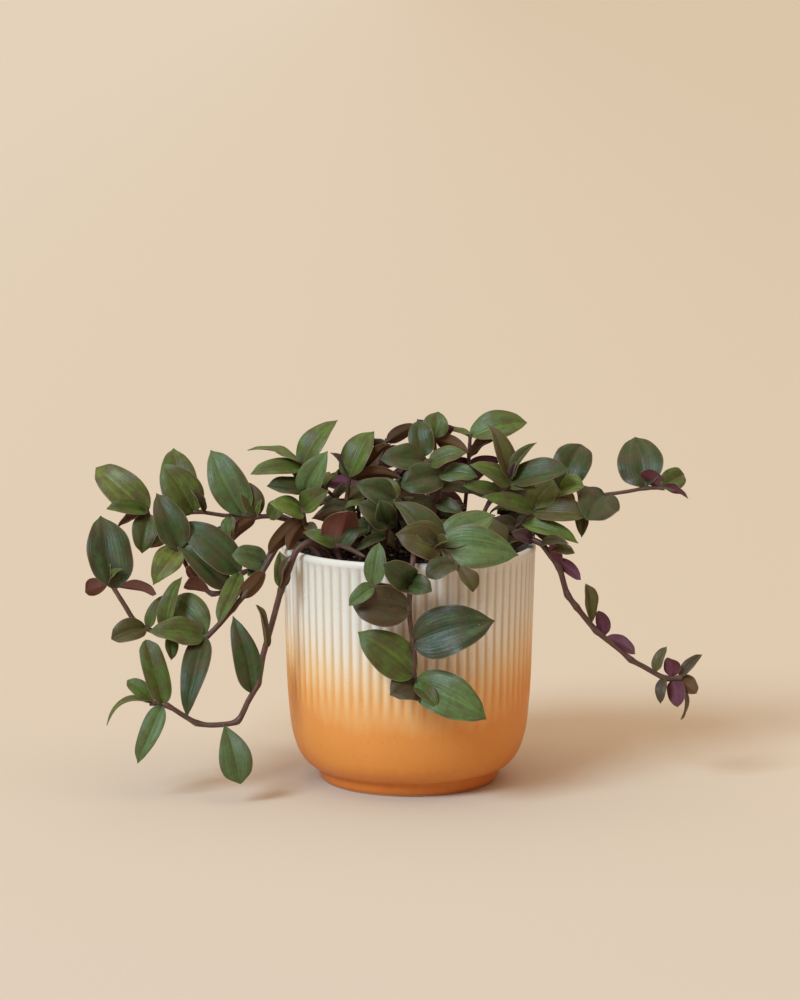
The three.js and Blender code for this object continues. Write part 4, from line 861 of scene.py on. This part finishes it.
def underside_finish(marks):
    """The lower face of a leaf: purple or brown, duller, with fine raised veins."""
    nodes = Finish("leaf_underside", Specular_IOR_Level=0.25, Sheen_Weight=0.05, Sheen_Roughness=0.5)
    seed = nodes.parts(nodes.attribute("leaf_traits", "Color"), "Color")[2]
    tone = nodes.attribute("leaf_under", "Color")
    found = nodes.group(marks, Blade=nodes.coordinates("UV"), Seed=seed)
    dark = nodes.tint(tone, 0.55, 0.5, 0.55)
    pale = nodes.tint(tone, 1.4, 1.35, 1.35)
    clouds = nodes.between(nodes.grain(nodes.coordinates("Object"), 120.0, 3.0), 0.45, 0.7, 0.0, 0.4)
    base = nodes.layered(
        tone,
        (nodes.times(found["Threads"], 0.5), dark),
        (nodes.times(found["Streaks"], 0.35), pale),
        (clouds, colour(86, 74, 44)),
        (nodes.times(found["Midrib"], 0.5), pale),
        (nodes.times(found["Margin"], 0.7), colour(148, 118, 94)),
    )
    roughness = nodes.between(found["Threads"], 0.0, 1.0, 0.5, 0.66)
    ridges = nodes.scaled(found["Midrib"], 1.6, found["Veins"])
    relief = nodes.plus(ridges, found["Threads"])
    return nodes.finished(base, roughness, nodes.bump(relief, 0.4, 0.00012))


def stem_finish(name, base, patch, line, roughness):
    """Stem or sheath skin, from its UV: round it from 0 to 1, and along it in centimetres."""
    nodes = Finish(name, Specular_IOR_Level=0.3, Sheen_Weight=0.05)
    place = nodes.coordinates("Object")
    lines = nodes.grain(nodes.stretched(nodes.coordinates("UV"), (26.0, 1.6, 1.0)), 1.0, 3.0)
    patches = nodes.grain(place, 130.0, 4.0)
    coated = nodes.layered(
        base,
        (nodes.between(patches, 0.42, 0.66), patch),
        (nodes.between(lines, 0.45, 0.7, 0.0, 0.7), line),
    )
    dulled = nodes.between(patches, 0.2, 0.8, roughness - 0.06, roughness + 0.1)
    fuzz = nodes.grain(place, 2600.0, 2.0)
    return nodes.finished(coated, dulled, nodes.bump(nodes.plus(lines, fuzz), 0.4, 0.00015))


def earth_finish(name, light, dark, scale, roughness):
    """A rough natural stuff, mottled between two colours: soil, bark or perlite."""
    nodes = Finish(name, Specular_IOR_Level=0.25)
    place = nodes.coordinates("Object")
    lumps = nodes.grain(place, scale, 5.0, 0.65)
    grit = nodes.grain(place, scale * 6, 3.0)
    base = nodes.layered(
        dark,
        (nodes.between(lumps, 0.35, 0.68), light),
        (nodes.between(grit, 0.4, 0.75, 0.0, 0.5), dark),
    )
    dulled = nodes.between(grit, 0.2, 0.8, roughness - 0.08, roughness)
    return nodes.finished(base, dulled, nodes.bump(nodes.plus(lumps, grit), 0.7, 0.0006))


# ---------------- pieces


def linked(name, data):
    """A new object in the scene."""
    made = bpy.data.objects.new(name, data)
    bpy.context.scene.collection.objects.link(made)
    return made


def unique(elements):
    """Elements without repeats, in the order in which they come."""
    return list(dict.fromkeys(elements))


def mesh_of(bm, name):
    """Turns a bmesh into a mesh, and frees it."""
    mesh = bpy.data.meshes.new(name)
    bm.to_mesh(mesh)
    bm.free()
    return mesh


def finish_piece(bm, name, materials, node=None):
    """Turns a bmesh in millimetres into a finished piece in metres, which stands for a node."""
    bmesh.ops.scale(bm, vec=(MM, MM, MM), verts=bm.verts)
    mesh = mesh_of(bm, name)
    for material in materials:
        mesh.materials.append(material)
    for face in mesh.polygons:
        face.use_smooth = True
    piece = linked(name, mesh)
    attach(piece, BODY)
    if node:
        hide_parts(node)


def spun(bm, profile, steps):
    """Spins [radius, height] points round +Z into a closed skin that faces outwards."""
    verts = [bm.verts.new((radius, 0, height)) for radius, height in profile]
    edges = [bm.edges.new(pair) for pair in zip(verts, verts[1:])]
    bmesh.ops.spin(
        bm, geom=verts + edges, cent=(0, 0, 0), axis=(0, 0, 1), dvec=(0, 0, 0),
        angle=math.tau, steps=steps, use_merge=True, use_duplicate=False,
    )
    bmesh.ops.remove_doubles(bm, verts=bm.verts, dist=0.001)
    bmesh.ops.recalc_face_normals(bm, faces=bm.faces)


def inner_radius(height):
    """Radius of the pot's inner wall at a height."""
    share = (height - INNER_WALL_FOOT) / (POT_HEIGHT - INNER_WALL_FOOT)
    return RIM_RADIUS - WALL - INNER_TAPER * (1 - share)


def flat(points, step):
    """A smooth [radius, height] line through [radius, height] points."""
    line = smooth_line([Vector((radius, 0, height)) for radius, height in points], step, 1.0)
    return [(point.x, point.z) for point in line]


def pot_profile():
    """[radius, height] from the middle of the foot, up the outside and down the inside."""
    foot = [(0, 0.7), (38.4, 0.7), (39.2, 0), (42.8, 0)]
    ring = flat([(43.5, 0.5), (44.6, 1.7), (45.2, 3.6), (45.4, 5.4), (45.6, 6.3)], 0.8)
    belly = flat([(46.3, 6.8), (50, 8.6), (54.6, 13.7), (58.4, 23.8), (60.5, RIBS_BOTTOM),
                  (61.4, RIBS_BOTTOM + RIBS_FADE)], 1.5)
    wall = flat([(61.45, 55), (62.4, 88), (63.2, RIBS_TOP)], 3.5)
    lip = flat([(63.45, 116.8), (RIM_RADIUS, 117.6), (63.2, 119), (62.4, 119.8), (61.4, POT_HEIGHT),
                (60.5, 119.6), (59.9, 118.6), (inner_radius(117), 117)], 0.5)
    inside = [(inner_radius(height), height) for height in (114, 110, 90, 50, INNER_WALL_FOOT)]
    bottom = [INNER_TURN, (INNER_FLOOR_RADIUS, INNER_FLOOR), (0, INNER_FLOOR)]
    return [*foot, *ring, *belly, *wall, *lip, *inside, *bottom]


def make_pot(materials):
    """The pot, with rounded ribs that fade out above the foot."""
    bm = bmesh.new()
    spun(bm, pot_profile(), RIB_COUNT * STEPS_PER_RIB)
    layer = bm.verts.layers.float.new("groove")
    for vert in bm.verts:
        radius = math.hypot(vert.co.x, vert.co.y)
        if radius < inner_radius(vert.co.z) + WALL / 2 or vert.co.z < RIBS_RISE[0]:
            continue
        turn = math.atan2(vert.co.y, vert.co.x) * RIB_COUNT / math.tau
        off_ridge = abs(turn - round(turn)) * 2
        rounded = GROOVE_ROUNDING * eased(off_ridge, RIDGE_FLAT, 1)
        rounded += (1 - GROOVE_ROUNDING) * off_ridge**2
        share = rounded * eased(vert.co.z, *RIBS_RISE) * (1 - eased(vert.co.z, *RIBS_END))
        vert[layer] = share
        vert.co.xy *= (radius - GROOVE_DEPTH * share) / radius
    finish_piece(bm, "glazed_pot", materials, "pot")


def soil_height(x, y):
    """Height of the soil's surface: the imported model's own, made crumbly."""
    broad = math.sin(x * 0.11 + 1.3) * math.cos(y * 0.09 - 0.6)
    small = math.sin(x * 0.37 + y * 0.21) * math.cos(y * 0.33 - x * 0.12)
    crumbly = noise.fractal(Vector((x, y, 3.7)) * 0.32, 0.7, 2.1, 4)
    return SOIL_LEVEL + SOIL_LUMP * (0.6 * broad + 0.5 * small) + SOIL_CRUMBLE * crumbly


def make_soil(materials):
    """The body of the soil, with an uneven top."""
    bm = bmesh.new()
    edge = inner_radius(SOIL_LEVEL) - 2 * SOIL_GAP
    turn_radius, turn_height = INNER_TURN
    foot = [(0, INNER_FLOOR + SOIL_GAP), (INNER_FLOOR_RADIUS - SOIL_GAP, INNER_FLOOR + SOIL_GAP),
            (turn_radius - 2 * SOIL_GAP, turn_height + SOIL_GAP),
            (inner_radius(INNER_WALL_FOOT) - 2 * SOIL_GAP, INNER_WALL_FOOT),
            (edge, SOIL_LEVEL - SOIL_SKIRT)]
    top = [(edge * (1 - i / SOIL_RINGS), SOIL_LEVEL) for i in range(SOIL_RINGS + 1)]
    spun(bm, [*foot, *top], SOIL_STEPS)
    for vert in bm.verts:
        if vert.co.z > SOIL_LEVEL - SOIL_SKIRT / 2:
            vert.co.z = soil_height(vert.co.x, vert.co.y)
    finish_piece(bm, "potting_soil", materials, "soil")


def soil_spots(count, seed, margin):
    """Seeded places on the soil, up to a margin from the wall, each with the generator that
    draws the rest of it."""
    draw = random.Random(seed)
    for _ in range(count):
        angle = draw.uniform(0, math.tau)
        radius = (inner_radius(SOIL_LEVEL) - margin) * math.sqrt(draw.random())
        x, y = radius * math.cos(angle), radius * math.sin(angle)
        yield Vector((x, y, soil_height(x, y))), draw


def make_crumbs(name, count, seed, sizes, subdivisions, materials):
    """Lumps of soil or perlite that lie on the soil, partly sunk in it."""
    bm = bmesh.new()
    for place, draw in soil_spots(count, seed, CRUMB_MARGIN):
        size = draw.uniform(*sizes)
        squat = Matrix.Diagonal((1, draw.uniform(0.7, 1), draw.uniform(0.6, 0.9), 1))
        turn = Matrix.Rotation(draw.uniform(0, math.tau), 4, "Z")
        centre = place + Vector((0, 0, size * CRUMB_RISE))
        lump = bmesh.ops.create_icosphere(
            bm, subdivisions=subdivisions, radius=size, matrix=Matrix.Translation(centre) @ turn @ squat
        )
        for vert in lump["verts"]:
            rough = noise.noise(vert.co * (CRUMB_ROUGHNESS / size))
            vert.co += (vert.co - centre) * (CRUMB_ROUGHNESS * rough)
    finish_piece(bm, name, materials)


def make_bark(materials):
    """Bark chips and bits of root on the soil."""
    bm = bmesh.new()
    for place, draw in soil_spots(BARK_COUNT, BARK_SEED, BARK_MARGIN):
        sizes = [draw.uniform(*span) for span in (BARK_LENGTHS, BARK_WIDTHS, BARK_HEIGHTS)]
        turn = Matrix.Rotation(draw.uniform(0, math.tau), 4, "Z")
        lean = Matrix.Rotation(draw.uniform(-BARK_LEAN, BARK_LEAN), 4, "Y")
        centre = Matrix.Translation(place + Vector((0, 0, BARK_RISE)))
        chip = bmesh.ops.create_cube(bm, size=1, matrix=centre @ turn @ lean @ Matrix.Diagonal((*sizes, 1)))
        edges = unique(edge for vert in chip["verts"] for edge in vert.link_edges)
        bmesh.ops.bevel(
            bm, geom=edges, offset=BARK_BEVEL, offset_type="OFFSET", affect="EDGES",
            segments=1, profile=0.5, material=-1,
        )
    for vert in bm.verts:
        vert.co += noise.noise_vector(vert.co * 0.45) * BARK_WARP
    finish_piece(bm, "bark_chips", materials)


# ---------------- stems


def add_rings(bm, rings, sides, material):
    """A closed skin through rings, given as (middle, axis, outward, radius, UV height)."""
    made = bmesh.ops.create_grid(bm, x_segments=sides, y_segments=len(rings) - 1, size=1)["verts"]
    faces = unique(face for vert in made for face in vert.link_faces)
    uv_layer = bm.loops.layers.uv.verify()

    def ring_of(vert):
        return rings[round((vert.co.y + 1) / 2 * (len(rings) - 1))]

    for face in faces:
        face.material_index = material
        for loop in face.loops:
            loop[uv_layer].uv = ((loop.vert.co.x + 1) / 2, ring_of(loop.vert)[4])
    for vert in made:
        middle, axis, outward, radius, _ = ring_of(vert)
        vert.co = middle + Quaternion(axis, math.pi * (vert.co.x + 1)) @ outward * radius
    bmesh.ops.remove_doubles(bm, verts=made, dist=1e-4)
    rims = unique(edge for face in faces for edge in face.edges if edge.is_boundary)
    caps = bmesh.ops.holes_fill(bm, edges=rims, sides=0)["faces"]
    for cap in caps:
        cap.material_index = material
    bmesh.ops.recalc_face_normals(bm, faces=[*faces, *caps])


def line_rings(line, radii):
    """Rings for a tube along a line, without twist."""
    rings = []
    outward = Vector((1, 0.02, 0.01))
    travelled = 0
    for i, (middle, radius) in enumerate(zip(line, radii)):
        axis = (line[min(len(line) - 1, i + 1)] - line[max(0, i - 1)]).normalized()
        outward = (outward - axis * outward.dot(axis)).normalized()
        travelled += (middle - line[max(0, i - 1)]).length
        rings.append((middle, axis, outward, radius, travelled / 10))
    return rings


def stem_runs(stem):
    """The stem's own run and its branches, each as [(place, radius, whether a knot)]."""
    x, y = stem["root"]
    foot = [(Vector((x, y, height)), False) for height in (STEM_FOOT, SOIL_LEVEL + STEM_RISE)]
    main, *branches = [[(seen(*point[:3]), point[3]) for point in run] for run in stem["runs"]]
    main = foot + main
    count = len(main) - 1
    yield [(place, stem["radius"] * (1 - (1 - STEM_TAPER) * i / count), knot)
           for i, (place, knot) in enumerate(main)]
    for branch in branches:
        yield [(place, stem["radius"] * STEM_TAPER, knot) for place, knot in branch]


def add_stem(bm, run):
    """One run of a stem: a round tube that swells at its knots, with a sheath at each."""
    line = smooth_line([place for place, _, _ in run], STEM_STEP, STEM_PULL)
    radii = []
    for i, middle in enumerate(line):
        near = sorted(run, key=lambda spot: (spot[0] - middle).length)[:2]
        gaps = [(spot[0] - middle).length + 1e-6 for spot in near]
        plain = (near[0][1] * gaps[1] + near[1][1] * gaps[0]) / sum(gaps)
        swell = max((math.exp(-(((place - middle).length / KNOT_REACH) ** 2))
                     for place, _, knot in run if knot), default=0)
        wobble = 1 + STEM_WOBBLE * noise.noise(middle * 0.35)
        tip = 1 - END_NARROWING * eased(i, len(line) - 1 - END_STEPS, len(line) - 1)
        radii.append(plain * wobble * tip * (1 + KNOT_SWELL * swell))
    add_rings(bm, line_rings(line, radii), STEM_SIDES, SKIN)
    for place, radius, knot in run:
        if knot:
            at = min(range(len(line)), key=lambda i: (line[i] - place).length)
            add_sheath(bm, line, at, radius)


def add_sheath(bm, line, at, radius):
    """The thin sheath that a leaf's base wraps round the stem, with a few hairs at its mouth."""
    back, middle = line[max(0, at - 2)], line[at]
    axis = (line[min(len(line) - 1, at + 1)] - back).normalized()
    outward = axis.orthogonal().normalized()
    profile = [(back, 0.95), (back.lerp(middle, 0.25), 1.1), (back.lerp(middle, 0.7), 1.18),
               (middle + axis * 0.4, 1.32), (middle + axis * 0.45, 1.24), (middle - axis * 0.5, 1.0)]
    rings = [(place, axis, outward, radius * reach, i * 0.1) for i, (place, reach) in enumerate(profile)]
    add_rings(bm, rings, STEM_SIDES, SHEATH)
    for k in range(HAIRS):
        spread = Quaternion(axis, math.tau * (k + 0.4 * math.sin(k * 7.1 + middle.x)) / HAIRS) @ outward
        heading = (axis + spread * (0.35 + 0.25 * math.sin(k * 3.3))).normalized()
        start = middle + axis * 0.3 + spread * (radius * HAIR_START)
        turn = heading.to_track_quat("Z", "X").to_matrix().to_4x4()
        hair = bmesh.ops.create_cone(
            bm, cap_ends=True, segments=3, radius1=HAIR_RADII[0], radius2=HAIR_RADII[1],
            depth=HAIR_LENGTH, matrix=Matrix.Translation(start + heading * 0.4) @ turn,
        )
        for face in unique(face for vert in hair["verts"] for face in vert.link_faces):
            face.material_index = HAIR


# ---------------- leaves


def leaf_root(stem, right, up):
    """How far back a leaf grows, and where: the point of the stem's axis that the front view
    shows nearest to (right, up)."""
    best = None
    for run in stem["runs"]:
        for i, (a, b) in enumerate(zip(run, run[1:])):
            span = (b[0] - a[0]) ** 2 + (b[1] - a[1]) ** 2
            furthest = 1 - END_INSET / math.sqrt(span) if i + 2 == len(run) else 1
            share = ((right - a[0]) * (b[0] - a[0]) + (up - a[1]) * (b[1] - a[1])) / span
            share = min(furthest, max(0, share))
            at = [a[k] + (b[k] - a[k]) * share for k in range(3)]
            miss = math.hypot(right - at[0], up - at[1])
            if best is None or miss < best[0]:
                best = (miss, at[2], seen(*a[:3]).lerp(seen(*b[:3]), share))
    return best[1:]


def leaf_frame(stem, leaf, bend):
    """A leaf's root, its tip when bent back by `bend`, the way that its upper face looks, and
    the way across it."""
    right, up, tip_right, tip_up, back, _, turn = leaf[:7]
    depth, root = leaf_root(stem, right, up)
    tip = seen(tip_right, tip_up, depth + back + bend)
    along = (tip - root).normalized()
    to_eye = (EYE - root).normalized()
    skyward = 1 if along.x <= 0 else -1
    face = (to_eye - along * to_eye.dot(along)).normalized()
    face = Quaternion(along, math.radians(turn) * skyward) @ face
    return root, tip, face, face.cross(along)


def bend_of(stem, leaf, corners):
    """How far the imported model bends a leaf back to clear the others: the step whose tip is one
    of that solid's corners."""
    width, _, arch, fold = leaf[5:]
    folded = width >= FOLDED_LEAF or fold >= ROLLED_FOLD
    half = SOLID_BLADE / 2 / (math.cos(math.radians(fold)) if folded else 1)

    def miss(bend):
        root, tip, face, across = leaf_frame(stem, leaf, bend)
        straight = (tip - root).normalized()
        along = (straight - face * (4 * arch)).normalized()
        return corners.find((tip + along.cross(across).normalized() * half) * MM)[2]

    steps = [BEND_STEP * step for step in range(-BEND_LIMIT, BEND_LIMIT + 1)]
    return min(steps, key=miss)


def outline(share, rise, fall):
    """Half width of a blade at a share of its length, with 1 at its widest."""
    widest = rise / (rise + fall)
    full = widest**rise * (1 - widest) ** fall
    swell = share**rise * (1 - share) ** fall / full if 0 < share < 1 else 0
    drawn = 1 - TIP_DRAWN * eased(share, TIP_START, 1)
    return max(swell * drawn, STALK_WIDTH * (1 - share / STALK_LENGTH), LEAST_WIDTH)


class Blade:
    """The form of one leaf."""

    def __init__(self, stem, leaf, form, bend, draw):
        self.width, _, self.arch, fold = leaf[5:]
        self.root, self.tip, self.face, self.across = leaf_frame(stem, leaf, bend)
        self.length = (self.tip - self.root).length
        self.root = self.root.lerp(self.tip, ROOT_START * stem["radius"] / self.length)
        self.straight = (self.tip - self.root).normalized()
        self.fold = math.radians(fold)
        rise, fall = LEAF_FORMS[form]
        self.curve = (rise * draw.uniform(*RISE_RANGE), fall * draw.uniform(*FALL_RANGE))
        self.twist = math.radians(draw.uniform(*TWIST_RANGE))
        self.wave = draw.uniform(*WAVE_RANGE)
        self.ripples = draw.uniform(*RIPPLE_RANGE)
        self.phase = draw.uniform(0, math.tau)
        self.bulge = draw.uniform(*BULGE_RANGE)
        self.hook = draw.uniform(*HOOK_RANGE)
        self.droop = draw.uniform(*DROOP_RANGE)

    def middle(self, u, v):
        """The point of the bent midrib, with u to spread the sideways bow over the width."""
        lift = self.face * (self.arch * self.length * 4 * v * (1 - v))
        curl = eased(v, CURL_START, 1) ** 2
        bow = self.hook * (math.sin(math.pi * v) * (1 + u * 0.3) + 0.5 * curl)
        sideways = self.across * bow - self.face * (self.droop * curl)
        return self.root.lerp(self.tip, v) + lift + sideways * self.length

    def place(self, u, v, level):
        """The point at u from -1 to 1 across, v from 0 to 1 along, and level 0 on top."""
        along = (self.straight + self.face * (self.arch * 4 * (1 - 2 * v))).normalized()
        turn = Quaternion(along, self.twist * (v - TWIST_START))
        across = turn @ self.across
        up = turn @ along.cross(self.across).normalized()
        reach = self.width / 2 * outline(v, *self.curve) * (1 + 2 * self.hook * u)
        fold = self.fold + ROOT_FOLD * max(0, 1 - v / STALK_LENGTH) ** 2
        rounded = math.sqrt(u * u + FOLD_ROUNDING)
        height = (rounded - FOLD_DEPTH) * math.sin(fold) + self.bulge * 4 * abs(u) * (1 - abs(u))
        height += self.wave * abs(u) ** 3 * math.sin(self.phase + self.ripples * math.tau * v + u)
        lean = fold * u / rounded
        thick = (level + 0.5) * BLADE_THICKNESS * (1 - EDGE_THINNING * abs(u))
        spread = up * (reach * height) - across * (reach * u * math.cos(fold))
        return self.middle(u, v) + spread + (up * math.cos(lean) + across * math.sin(lean)) * thick


def blade_template():
    """A flat closed slab to bend each leaf from: -1 to 1 across, 0 to 1 along, and 1 thick."""
    bm = bmesh.new()
    bmesh.ops.create_grid(bm, x_segments=BLADE_COLUMNS, y_segments=BLADE_ROWS, size=1)
    for vert in bm.verts:
        even = (vert.co.y + 1) / 2
        crowded = 0.5 - 0.5 * math.cos(math.pi * even)
        vert.co.y = ROW_EVENNESS * even + (1 - ROW_EVENNESS) * crowded
    bmesh.ops.solidify(bm, geom=bm.faces[:], thickness=1)
    bm.normal_update()
    uv_layer = bm.loops.layers.uv.verify()
    for face in bm.faces:
        face.material_index = UNDERSIDE if face.normal.z < -0.5 else TOP
        for loop in face.loops:
            loop[uv_layer].uv = ((loop.vert.co.x + 1) / 2, loop.vert.co.y)
    for edge in bm.edges:
        edge.smooth = edge.calc_face_angle() < SHARP_EDGE
    return mesh_of(bm, "blade_template")


def shaded(tone, draw):
    """A colour made a little lighter or darker, and a little greener or less green."""
    share = draw.uniform(*TONE_RANGE)
    return (tone[0] * share, tone[1] * share * draw.uniform(*GREEN_RANGE), tone[2] * share, 1)


def leaf_looks(turn, letter, index, draw):
    """The colours of a leaf's two faces, and (silvery, blotched, seed)."""
    shows_under = turn > UNDERSIDE_TURN
    top = HIDDEN_TOPS[index % len(HIDDEN_TOPS)] if shows_under else letter
    under = letter if shows_under else HIDDEN_UNDERS[index % len(HIDDEN_UNDERS)]
    tone, silvery, blotched = TOP_LOOKS[top]
    return shaded(tone, draw), shaded(UNDER_LOOKS[under], draw), (silvery, blotched, draw.random(), 1)


def keep_inside(verts, shares):
    """Bends a blade, from its root on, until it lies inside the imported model's box. The shares
    say how far along the blade each vertex lies."""
    for axis in range(3):
        for way, corner in zip((-1, 1), cad_box):
            limit = corner[axis] / MM
            over = max((vert.co[axis] - limit) * way / max(share, LEAST_SHARE)
                       for vert, share in zip(verts, shares))
            if over > 0:
                for vert, share in zip(verts, shares):
                    vert.co[axis] -= way * (over + BOX_MARGIN) * share


def make_shoot(stem, template, materials):
    """A whole leafy stem, which stands for its node."""
    bm = bmesh.new()
    layers = [bm.verts.layers.float_color.new(name) for name in ("leaf_tone", "leaf_under", "leaf_traits")]
    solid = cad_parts[stem["name"]].data
    corners = kdtree.KDTree(len(solid.vertices))
    for vertex in solid.vertices:
        corners.insert(vertex.co, vertex.index)
    corners.balance()
    draw = random.Random(stem["name"])
    for index, (letter, form, leaf) in enumerate(stem["leaves"]):
        blade = Blade(stem, leaf, form, bend_of(stem, leaf, corners), draw)
        looks = leaf_looks(leaf[6], letter, index, draw)
        first = len(bm.verts)
        bm.from_mesh(template)
        bm.verts.ensure_lookup_table()
        made = bm.verts[first:]
        shares = [vert.co.y for vert in made]
        for vert in made:
            vert.co = blade.place(*vert.co)
            for layer, look in zip(layers, looks):
                vert[layer] = look
        keep_inside(made, shares)
    for run in stem_runs(stem):
        add_stem(bm, run)
    finish_piece(bm, stem["name"].replace("stem", "shoot"), materials, stem["name"])


# ---------------- stage


def make_floor():
    """A plain pale floor, painted a little darker to the right as shade where the light from the left falls
    off.
    """
    bm = bmesh.new()
    bmesh.ops.create_circle(bm, cap_ends=True, segments=64, radius=FLOOR_RADIUS)
    floor = linked("floor", mesh_of(bm, "floor"))
    nodes = Finish("pale_floor", Roughness=0.9, Specular_IOR_Level=0.1)
    place = nodes.coordinates("Object")
    x, y, _ = nodes.parts(place)
    # painted shade: the floor's colour darkens to the right, standing in for the light falling off away
    # from the left
    sideways = nodes.between(x, -1.2, 1.2)
    far = nodes.mix(sideways, colour(220, 206, 187), colour(211, 193, 169))
    near = nodes.mix(sideways, colour(220, 207, 195), colour(210, 195, 176))
    fibres = nodes.between(nodes.grain(place, 900.0, 2.0), 0.3, 0.7, 0.0, 0.06)
    base = nodes.layered(near, (nodes.between(y, -0.5, 0.3), far), (fibres, colour(196, 178, 152)))
    nodes.feed(nodes.surface["Base Color"], base)
    floor.data.materials.append(nodes.material)


def add_sun(name, towards, tint, strength, softness):
    """A distant light from the given direction. The wider it is, in degrees, the softer."""
    lamp = bpy.data.lights.new(name, "SUN")
    lamp.color = tint
    lamp.energy = strength
    lamp.angle = math.radians(softness)
    linked(name, lamp).rotation_euler = Vector(towards).to_track_quat("Z", "Y").to_euler()


def make_stage():
    """The floor, soft cool light from the upper left, warm light from above and all round, and
    the camera."""
    scene = bpy.context.scene
    scene.view_settings.view_transform = "Standard"
    make_floor()
    scene.world = bpy.data.worlds.new("studio")
    scene.world.use_nodes = True
    background = scene.world.node_tree.nodes["Background"].inputs
    background[0].default_value = (1.0, 0.78, 0.56, 1)
    background[1].default_value = 0.36
    add_sun("key", (-1.1, -1.25, 1.35), (0.62, 0.83, 1.0), 2.75, 24)
    add_sun("overhead", (0.1, 0.2, 1), (1.0, 0.8, 0.64), 1.32, 90)
    lens = bpy.data.cameras.new("front")
    lens.lens = LENS
    lens.sensor_width = SENSOR
    lens.clip_end = VIEW_DEPTH
    scene.camera = linked("front", lens)
    scene.camera.location = EYE * MM
    scene.camera.rotation_euler = (EYE_PITCH, 0, 0)


# ---------------- the whole


make_stage()

make_pot([glaze_finish()])
peat = earth_finish("peat", colour(66, 48, 36), colour(30, 21, 16), 260, 0.95)
grains = earth_finish("perlite_grain", colour(232, 228, 216), colour(190, 182, 165), 700, 0.9)
make_soil([peat])
make_crumbs("soil_crumbs", count=900, seed=5, sizes=(0.4, 1.3), subdivisions=1, materials=[peat])
make_crumbs("perlite", count=60, seed=11, sizes=(0.5, 1.3), subdivisions=2, materials=[grains])
make_bark([earth_finish("bark", colour(104, 74, 50), colour(52, 36, 26), 420, 0.9)])

blade_marks = blade_marks_group()
stem_materials = [
    leaf_finish(blade_marks),
    underside_finish(blade_marks),
    stem_finish("stem_skin", colour(86, 53, 46), colour(78, 60, 42), colour(130, 96, 82), 0.42),
    stem_finish("sheath_skin", colour(106, 76, 66), colour(88, 70, 50), colour(70, 44, 44), 0.5),
    stem_finish("fine_hair", colour(196, 180, 160), colour(180, 160, 140), colour(210, 196, 180), 0.6),
]
blade_slab = blade_template()
for plant_stem in read_stems(STEM_TABLE):
    make_shoot(plant_stem, blade_slab, stem_materials)
bpy.data.meshes.remove(blade_slab)
